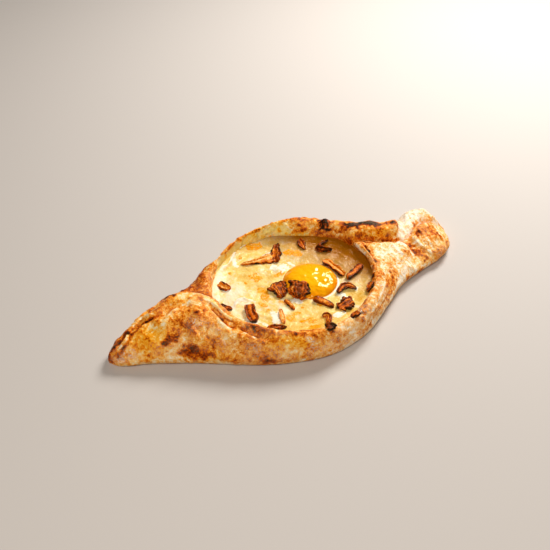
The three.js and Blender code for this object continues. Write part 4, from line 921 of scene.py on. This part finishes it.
def cheese():
    """The pool of cheese: rings from the middle to the wall, with browned and white patches, a few painted
    glints, and oil darkened as painted shade under the roll.
    """
    angle = 360 * np.arange(CHEESE_AROUND) / CHEESE_AROUND
    out = undercut(angle)
    edge = mouth(angle, np.where(out > 0, 0.9 * out, 0.5 * out) + 0.6)
    centre = np.array((MOUTH_X, MOUTH_Y))
    share = 1 - np.arange(CHEESE_RINGS + 1) / CHEESE_RINGS
    plan = centre + (edge - centre)[None] * share[:, None, None]
    shape = plan.shape[:2]
    flat = plan.reshape(-1, 2)
    spread = np.c_[flat, np.zeros(len(flat))]
    by_wall, bearing = np.repeat(share, CHEESE_AROUND), np.tile(angle, len(share))
    height, rim = cheese_relief(flat, spread, by_wall, bearing)

    ragged = 0.5 * noise(spread, 3, 35) + 0.45 * noise(spread, 1.3, 36)
    brown, white_and_glints = cover(CHEESE_BROWN, flat, ragged), cover(CHEESE_WHITE_AND_GLINTS, flat, ragged)
    height += 0.25 * brown + 0.35 * white_and_glints
    tone = 0.46 + 0.2 * noise(spread, 14, 37) + 0.16 * noise(spread, 5, 38) + 0.1 * noise(spread, 2, 39)
    tone = tone - 0.25 * smooth(-30, -52, flat[:, 0]) + 0.2 * smooth(-20, -45, flat[:, 1])
    # Painted shade: under the roll's overhang and towards the far right the cheese turns dark ochre, over
    # the real ochre of its oil.
    shade_under_roll = smooth(0.80, 0.98, by_wall) * smooth(20, 40, flat[:, 0]) * smooth(-24, -4, flat[:, 1])
    oil_and_shade = 0.96 * smooth(0, 54, flat[:, 0] + 0.55 * flat[:, 1]) + 0.5 * shade_under_roll
    oil_and_shade += 0.12 * noise(spread, 6, 40)
    white_and_glints = np.maximum(white_and_glints, 0.9 * rim)

    def with_wall(field, wall):
        """The field over the top, with one value for the three rows below it."""
        return np.concatenate([np.full((3, shape[1]), wall), field.reshape(shape)])

    top = np.concatenate([plan, height.reshape(shape)[..., None]], -1)
    wall = np.c_[mouth(angle, out + 0.3), np.full(CHEESE_AROUND, WALL_LEVEL)]
    foot = np.c_[mouth(angle, out - FLOOR_INSET), np.full(CHEESE_AROUND, CHEESE_BOTTOM)]
    base = foot * (0, 0, 1) + np.r_[centre, 0]
    grid = np.concatenate([base[None], foot[None], wall[None], top])
    values = {"tone": with_wall(np.clip(tone, 0, 1), 0.5), "brown": with_wall(brown, 0),
              "white_and_glints": with_wall(white_and_glints, 0), "oil_and_shade": with_wall(np.clip(oil_and_shade, 0, 1), 0)}
    return put_mesh("melted_cheese", grid, values, cheese_material())


YOLK_DENT_X, YOLK_DENT_Y, YOLK_DENT_RADIUS, YOLK_DENT_DEPTH = -4.4, -19, 6, 1.6


def yolk():
    """The yolk: a flattened dome, a little oval, dented where a mushroom piece lies on it."""
    rows, columns = 90, 180
    tilt = np.pi * (np.arange(rows + 1) / rows - 0.5)[:, None]
    turn = 2 * np.pi * (np.arange(columns) / columns)[None]
    up = np.where(np.sin(tilt) > 0, YOLK_ABOVE, YOLK_BELOW) * np.sin(tilt)
    oval = 1 + YOLK_OVAL * np.cos(2 * turn + YOLK_TURN)
    radius = YOLK_RADIUS * oval * np.abs(np.cos(tilt)) ** YOLK_SHOULDER
    x, y = YOLK_X + radius * np.cos(turn), YOLK_Y + radius * np.sin(turn)
    from_dent = np.hypot(x - YOLK_DENT_X, y - YOLK_DENT_Y)
    dent = YOLK_DENT_DEPTH * bell(from_dent, YOLK_DENT_RADIUS) * smooth(0, 0.5, np.sin(tilt))
    base = cheese_height(np.array((YOLK_X, YOLK_Y)))
    grid = np.stack([x, y, base + up - dent + 0 * turn], -1)
    skin = 0.16 * noise(grid, 6, 51) + 0.09 * noise(grid, 2.2, 52)
    grid[..., 2] += skin * smooth(0, 0.4, np.sin(tilt))
    depth = radius / YOLK_RADIUS + 0.15 * noise(grid, 6, 53)
    return put_mesh("egg_yolk", grid, {"depth": np.clip(depth, 0, 1)}, yolk_material())


MUSHROOM_ROWS, MUSHROOM_COLUMNS = 96, 72
SECTION_ACROSS, SECTION_UP = 0.5, 0.42  # powers that square off the section
END_POWER = 9                           # the higher, the blunter the two ends
GILL_RISE, ROLL_SWAY, LIFT_SWAY = 0.3, 14, 0.35


def mushroom(name, path, widths, thick, curl, roll, lifts, looks, seed):
    """A slice of mushroom along an arc through three plan points.

    The section is a superellipse, bent up at its long edges by curl and turned by roll. Gills are a
    cosine across it, which also darkens the colour in their grooves and at the sides as painted shade,
    and noise along the outline and at both ends makes it ragged.
    """
    browning, gills, ragged, charring, pale_core = looks
    start, middle, end = (np.array(p, float) for p in path)
    bend = 2 * middle - (start + end) / 2
    rows, columns = MUSHROOM_ROWS, MUSHROOM_COLUMNS
    s = np.linspace(0, 1, rows)[:, None]
    turn = 2 * np.pi * (np.arange(columns) + 0.5)[None] / columns
    across_unit, up_unit = power(np.cos(turn), SECTION_ACROSS), power(np.sin(turn), SECTION_UP)
    length = np.linalg.norm(end - start)

    far_off = np.full((rows, columns), 5.0 * seed)
    edge = np.stack([s * length + 0 * turn, 3 * across_unit + 0 * s, far_off], -1)
    reach = s + ragged * 2.4 / length * noise(edge * (0, 1, 1), 0.9, seed) * power(2 * s - 1, 3)
    at = (((1 - reach) ** 2)[..., None] * start + (2 * reach * (1 - reach))[..., None] * bend
          + (reach**2)[..., None] * end)
    heading = (1 - s)[..., None] * (bend - start) + s[..., None] * (end - bend)
    heading /= np.linalg.norm(heading, axis=-1, keepdims=True)

    def keyed(values):
        """Smooth change from the first value through the second to the third along the piece."""
        return along([(0, values[0]), (0.5, values[1]), (1, values[2])], s)

    ends = np.sqrt(np.clip(1 - np.abs(2 * s - 1) ** END_POWER, 0, 1))
    long_edges = edge * (1, 0.35, 1)
    outline = 1 + 0.22 * noise(long_edges, 4.2, seed + 8)
    outline += ragged * (0.30 * noise(long_edges, 2.2, seed) + 0.30 * noise(long_edges, 1.0, seed + 9))
    across = across_unit * ends * outline * keyed(widths) / 2
    wobble = 0.8 * noise(edge, 3, seed + 1)
    gill = np.cos(np.pi * gills * across_unit + wobble) * (up_unit > 0)
    up = up_unit * ends * thick / 2 + curl * (across_unit**2 - 0.5) + GILL_RISE * gill * ends
    angle = np.radians(roll + ROLL_SWAY * noise(edge * (1, 0, 1), 5, seed + 10))
    side = across * np.cos(angle) - up * np.sin(angle)
    rise = across * np.sin(angle) + up * np.cos(angle)
    centre_z = cheese_height(at) + keyed(lifts) + LIFT_SWAY * noise(edge * (1, 0, 1), 4, seed + 11)
    grid = np.stack([at[..., 0] - heading[..., 1] * side, at[..., 1] + heading[..., 0] * side,
                     centre_z + rise], -1)
    wrinkles = 0.3 * noise(grid, 2.4, seed + 2) + 0.14 * noise(grid, 1.1, seed + 3)
    grid = grid + outward(grid) * (wrinkles * ends)[..., None]

    tips = smooth(0.78, 1, np.abs(2 * s - 1)) + 0 * turn
    rim = smooth(0.8, 1.05, np.abs(across_unit) + 0.2 * noise(edge, 1.6, seed + 4))
    singed = charring * np.maximum(rim, tips) * smooth(-0.1, 0.5, noise(edge, 3.2, seed + 5) + 0.1)
    # The gill term darkens the grooves and the sides of round pieces and lightens the crests: painted shade.
    tone = browning - 0.16 * gill + 0.22 * noise(grid, 3, seed + 6) + 0.16 * noise(grid, 1.2, seed + 7)
    tone -= pale_core * bell(across_unit + 0.2 * wobble, 0.4) * (up_unit > 0)
    tone += 0.5 * singed + 0.16 * rim
    return put_mesh(name + "_piece", grid, {"tone": np.clip(tone, 0, 1)}, mushroom_material())


# ------------------------------------------------------------------ materials
def colour(red, green, blue):
    """Screen colour, 0 to 255, as linear light."""
    share = np.array((red, green, blue)) / 255
    linear = np.where(share <= 0.04045, share / 12.92, ((share + 0.055) / 1.055) ** 2.4)
    return (*linear.tolist(), 1.0)


class Finish:
    """A material under construction: its shader, and short ways to add nodes that feed it."""

    def __init__(self, name):
        self.material = bpy.data.materials.new(name)
        self.material.use_nodes = True
        self.nodes = self.material.node_tree.nodes
        self.links = self.material.node_tree.links
        self.shader = self.nodes["Principled BSDF"]
        self.place = self.nodes.new("ShaderNodeTexCoord").outputs["Object"]

    def feed(self, socket, source):
        """Links source to the socket, or sets the socket where source is a plain value."""
        if isinstance(source, bpy.types.NodeSocket):
            self.links.new(source, socket)
        else:
            socket.default_value = source

    def attribute(self, name):
        """The mesh's value of that name."""
        node = self.nodes.new("ShaderNodeAttribute")
        node.attribute_name = name
        return node.outputs["Fac"]

    def speckle(self, size, detail=2.0):
        """Noise from 0 to 1 whose features are about size millimetres across."""
        node = self.nodes.new("ShaderNodeTexNoise")
        self.links.new(self.place, node.inputs["Vector"])
        node.inputs["Scale"].default_value = 1 / (size * MM)
        node.inputs["Detail"].default_value = detail
        return node.outputs["Fac"]

    def sum(self, first, second, factor=1.0):
        """first + second x factor."""
        node = self.nodes.new("ShaderNodeMath")
        node.operation = "MULTIPLY_ADD"
        self.feed(node.inputs[0], second)
        node.inputs[1].default_value = factor
        self.feed(node.inputs[2], first)
        return node.outputs["Value"]

    def product(self, first, second):
        """first x second, kept within 0 to 1."""
        node = self.nodes.new("ShaderNodeMath")
        node.operation = "MULTIPLY"
        node.use_clamp = True
        self.feed(node.inputs[0], first)
        self.feed(node.inputs[1], second)
        return node.outputs["Value"]

    def between(self, value, low, high, start=0.0, end=1.0):
        """Runs smoothly from start to end as value goes from low to high."""
        node = self.nodes.new("ShaderNodeMapRange")
        node.interpolation_type = "SMOOTHSTEP"
        self.feed(node.inputs["Value"], value)
        for label, amount in (("From Min", low), ("From Max", high), ("To Min", start), ("To Max", end)):
            node.inputs[label].default_value = amount
        return node.outputs["Result"]

    def ramp(self, value, stops):
        """Colour by value, from stops of place and screen colour."""
        node = self.nodes.new("ShaderNodeValToRGB")
        elements = node.color_ramp.elements
        while len(elements) < len(stops):
            elements.new(0.5)
        for element, (place, shade) in zip(elements, stops):
            element.position = place
            element.color = colour(*shade)
        self.feed(node.inputs["Fac"], value)
        return node.outputs["Color"]

    def blend(self, share, first, second):
        """first where share is 0 and second where it is 1."""
        node = self.nodes.new("ShaderNodeMix")
        node.data_type = "RGBA"
        self.feed(node.inputs["Factor"], share)
        self.feed(node.inputs["A"], first)
        self.feed(node.inputs["B"], second)
        return node.outputs["Result"]

    def bump(self, height, depth):
        """Tilts the surface as if height, 0 to 1, stood depth millimetres high."""
        node = self.nodes.new("ShaderNodeBump")
        node.inputs["Distance"].default_value = depth * MM
        self.feed(node.inputs["Height"], height)
        self.links.new(node.outputs["Normal"], self.shader.inputs["Normal"])

    def finish(self, colour_socket, roughness):
        """Feeds the shader its colour and roughness, and returns the material."""
        self.feed(self.shader.inputs["Base Color"], colour_socket)
        self.feed(self.shader.inputs["Roughness"], roughness)
        return self.material


BROWN_CRUST = [(0.0, (255, 241, 222)), (0.15, (253, 220, 174)), (0.30, (247, 180, 92)),
               (0.45, (230, 132, 34)), (0.60, (192, 84, 8)), (0.75, (138, 48, 3)),
               (0.88, (84, 28, 4)), (1.0, (34, 15, 7))]
GOLD_CRUST = [(0.0, (255, 228, 164)), (0.15, (255, 204, 100)), (0.30, (255, 180, 40)),
              (0.45, (246, 146, 8)), (0.60, (212, 96, 0)), (0.75, (152, 56, 0)),
              (0.88, (90, 32, 3)), (1.0, (36, 16, 7))]
SMEARED = [(0.1, (255, 226, 128)), (0.3, (255, 204, 66)), (0.45, (255, 184, 36)),
           (0.6, (248, 146, 8)), (0.78, (190, 82, 4)), (1.0, (70, 26, 6))]
MELTED = [(0.0, (248, 234, 198)), (0.5, (242, 206, 116)), (1.0, (222, 160, 36))]


def crust_material():
    """Baked dough: browning by attribute, with painted shade and highlights in it, fine speckle, flour, char
    and a little melted cheese.
    """
    crust = Finish("baked_crust")
    coarse, grain, fine = crust.speckle(2.4, 4), crust.speckle(1.1, 3), crust.speckle(0.6, 1)
    burnt = crust.product(crust.attribute("char"), crust.between(coarse, 0.32, 0.58, 0.35, 1.2))
    bake = crust.sum(crust.attribute("bake"), burnt, 0.46)
    bake = crust.sum(bake, crust.sum(-0.5, coarse), 0.9)
    bake = crust.sum(bake, crust.sum(-0.5, grain), 0.65)
    bake = crust.sum(bake, crust.sum(-0.5, fine), 0.3)
    gold = crust.blend(crust.attribute("gold"), crust.ramp(bake, BROWN_CRUST), crust.ramp(bake, GOLD_CRUST))
    dust = crust.product(crust.attribute("flour"), crust.between(grain, 0.43, 0.55, 0.0, 1.0))
    powder = crust.ramp(crust.attribute("flour"), [(0.45, (255, 216, 160)), (0.85, (255, 242, 222))])
    floury = crust.blend(dust, gold, powder)
    smear = crust.attribute("cheese")
    skin = crust.blend(smear, floury, crust.ramp(bake, SMEARED))
    crust.bump(crust.sum(coarse, grain, 0.6), 0.8)
    crust.shader.inputs["Specular IOR Level"].default_value = 0.12
    crust.shader.inputs["Specular Tint"].default_value = colour(255, 208, 140)
    roughness = crust.sum(crust.sum(0.42, crust.attribute("flour"), 0.4), smear, -0.15)
    return crust.finish(skin, roughness)


def cheese_material():
    """Melted cheese: cream to yellow by attribute, with browned spots, white patches with a few painted
    glints, and ochre oil deepened as painted shade under the roll.
    """
    cheese = Finish("melted_cheese")
    coarse, patchy, grain = cheese.speckle(3.0, 4), cheese.speckle(1.6, 3), cheese.speckle(0.8, 2)
    tone = cheese.sum(cheese.attribute("tone"), cheese.sum(-0.5, coarse), 1.1)
    tone = cheese.sum(tone, cheese.sum(-0.5, grain), 0.7)
    pool = cheese.ramp(tone, MELTED)
    # Dark ochre of the oil, deepened as painted shade under the roll.
    oil_and_shade = cheese.blend(cheese.attribute("oil_and_shade"), pool, colour(160, 92, 4))
    spots = cheese.product(cheese.between(cheese.attribute("brown"), 0.08, 0.24),
                           cheese.between(patchy, 0.40, 0.50, 0.55, 1.0))
    browned = cheese.blend(spots, oil_and_shade, cheese.ramp(grain, [(0.35, (255, 184, 0)), (0.6, (238, 136, 0))]))
    white_and_glints = cheese.product(cheese.between(cheese.attribute("white_and_glints"), 0.15, 0.75),
                           cheese.between(coarse, 0.34, 0.50, 0.5, 1.0))
    glossy = cheese.blend(white_and_glints, browned, colour(253, 242, 220))
    cheese.shader.inputs["Specular IOR Level"].default_value = 0.2
    cheese.shader.inputs["Specular Tint"].default_value = colour(255, 230, 180)
    cheese.bump(cheese.sum(coarse, grain, 0.5), 0.5)
    cheese.shader.inputs["Subsurface Weight"].default_value = 0.06
    cheese.shader.inputs["Subsurface Radius"].default_value = (1.0, 0.6, 0.25)
    cheese.shader.inputs["Subsurface Scale"].default_value = 2.5 * MM
    return cheese.finish(glossy, cheese.between(coarse, 0.38, 0.62, 0.12, 0.30))


def yolk_material():
    """Egg yolk: deep yellow, more orange towards its edge, wet."""
    yolk_skin = Finish("egg_yolk")
    depth = yolk_skin.attribute("depth")
    body = yolk_skin.ramp(depth, [(0.0, (255, 190, 14)), (0.7, (255, 174, 8)), (1.0, (248, 146, 6))])
    yolk_skin.bump(yolk_skin.speckle(5.0, 1), 1.6)
    yolk_skin.shader.inputs["Subsurface Weight"].default_value = 0.2
    yolk_skin.shader.inputs["Subsurface Radius"].default_value = (1.0, 0.45, 0.08)
    yolk_skin.shader.inputs["Subsurface Scale"].default_value = 3 * MM
    yolk_skin.shader.inputs["Specular IOR Level"].default_value = 0.5
    yolk_skin.shader.inputs["Specular Tint"].default_value = colour(255, 216, 130)
    return yolk_skin.finish(body, 0.1)


FRIED = [(0.0, (252, 206, 130)), (0.2, (244, 150, 34)), (0.4, (212, 96, 5)), (0.55, (160, 62, 5)),
         (0.7, (108, 36, 4)), (0.85, (50, 16, 4)), (1.0, (16, 8, 6))]


def mushroom_material():
    """Fried mushroom: pale orange to black by attribute, oily, with a fine grain."""
    if "fried_mushroom" in bpy.data.materials:
        return bpy.data.materials["fried_mushroom"]
    fried = Finish("fried_mushroom")
    coarse, grain = fried.speckle(1.2, 3), fried.speckle(0.5, 2)
    tone = fried.sum(fried.attribute("tone"), fried.sum(coarse, -0.46), 0.7)
    fried.shader.inputs["Specular IOR Level"].default_value = 0.35
    fried.shader.inputs["Specular Tint"].default_value = colour(255, 184, 84)
    fried.bump(fried.sum(coarse, grain, 0.5), 0.6)
    return fried.finish(fried.ramp(tone, FRIED), fried.between(coarse, 0.35, 0.65, 0.18, 0.42))


# ------------------------------------------------------------------ pieces
def stand_for(piece, node):
    """The piece rides on the bread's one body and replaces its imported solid."""
    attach(piece, "root")
    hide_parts(node)


stand_for(bread(), "bread")
stand_for(cheese(), "cheese")
stand_for(yolk(), "yolk")
for seed, (name, *sizes) in enumerate(MUSHROOMS):
    stand_for(mushroom(name, *sizes, 101 + 10 * seed), name)


# ------------------------------------------------------------------ floor, light and camera
FLOOR_HALF = 3.0                        # metres
# lamps: place in metres, size in metres, power in watts, tint
LAMPS = {
    "key": ((0.60, 0.40, 0.62), 0.36, 10.5, (1.0, 0.98, 0.95)),
    "fill": ((-0.42, -0.62, 0.95), 0.55, 7.8, (1.0, 0.96, 0.90)),
}
DAYLIGHT = 0.09
CAMERA_PLACE = (-0.20216, -0.38416, 0.38947)
CAMERA_DOWN, CAMERA_TURN = 40.075, -25.73       # degrees below level, degrees about z
LENS, SENSOR = 52.36, 36.0


def floor():
    """A flat pale square under the bread."""
    corners = [(-FLOOR_HALF, -FLOOR_HALF, 0), (FLOOR_HALF, -FLOOR_HALF, 0),
               (FLOOR_HALF, FLOOR_HALF, 0), (-FLOOR_HALF, FLOOR_HALF, 0)]
    mesh = bpy.data.meshes.new("floor")
    mesh.from_pydata(corners, [], [(0, 1, 2, 3)])
    mesh.materials.append(Finish("pale_floor").finish(colour(198, 190, 183), 0.8))
    piece = bpy.data.objects.new("floor", mesh)
    bpy.context.scene.collection.objects.link(piece)


def lamp(name, place, size, power_watts, tint):
    """A round soft light aimed at the middle of the bread."""
    data = bpy.data.lights.new(name, "AREA")
    data.shape = "DISK"
    data.size = size
    data.energy = power_watts
    data.color = tint
    piece = bpy.data.objects.new(name, data)
    piece.location = place
    piece.rotation_euler = (-Vector(place)).to_track_quat("-Z", "Y").to_euler()
    bpy.context.scene.collection.objects.link(piece)


def daylight():
    """Even pale light from all round."""
    world = bpy.data.worlds.new("studio")
    world.use_nodes = True
    background = world.node_tree.nodes["Background"]
    background.inputs["Color"].default_value = (1.0, 0.90, 0.78, 1)
    background.inputs["Strength"].default_value = DAYLIGHT
    bpy.context.scene.world = world


def camera():
    """Looks down on the boat from its low side, a little towards the pointed tail."""
    piece = bpy.data.objects.new("camera", bpy.data.cameras.new("camera"))
    piece.data.sensor_width = SENSOR
    piece.data.lens = LENS
    piece.location = CAMERA_PLACE
    piece.rotation_euler = (np.radians(90 - CAMERA_DOWN), 0, np.radians(CAMERA_TURN))
    bpy.context.scene.collection.objects.link(piece)
    bpy.context.scene.camera = piece


floor()
for label, settings in LAMPS.items():
    lamp(label, *settings)
daylight()
camera()
bpy.context.scene.view_settings.view_transform = "Standard"

bpy.context.view_layer.update()
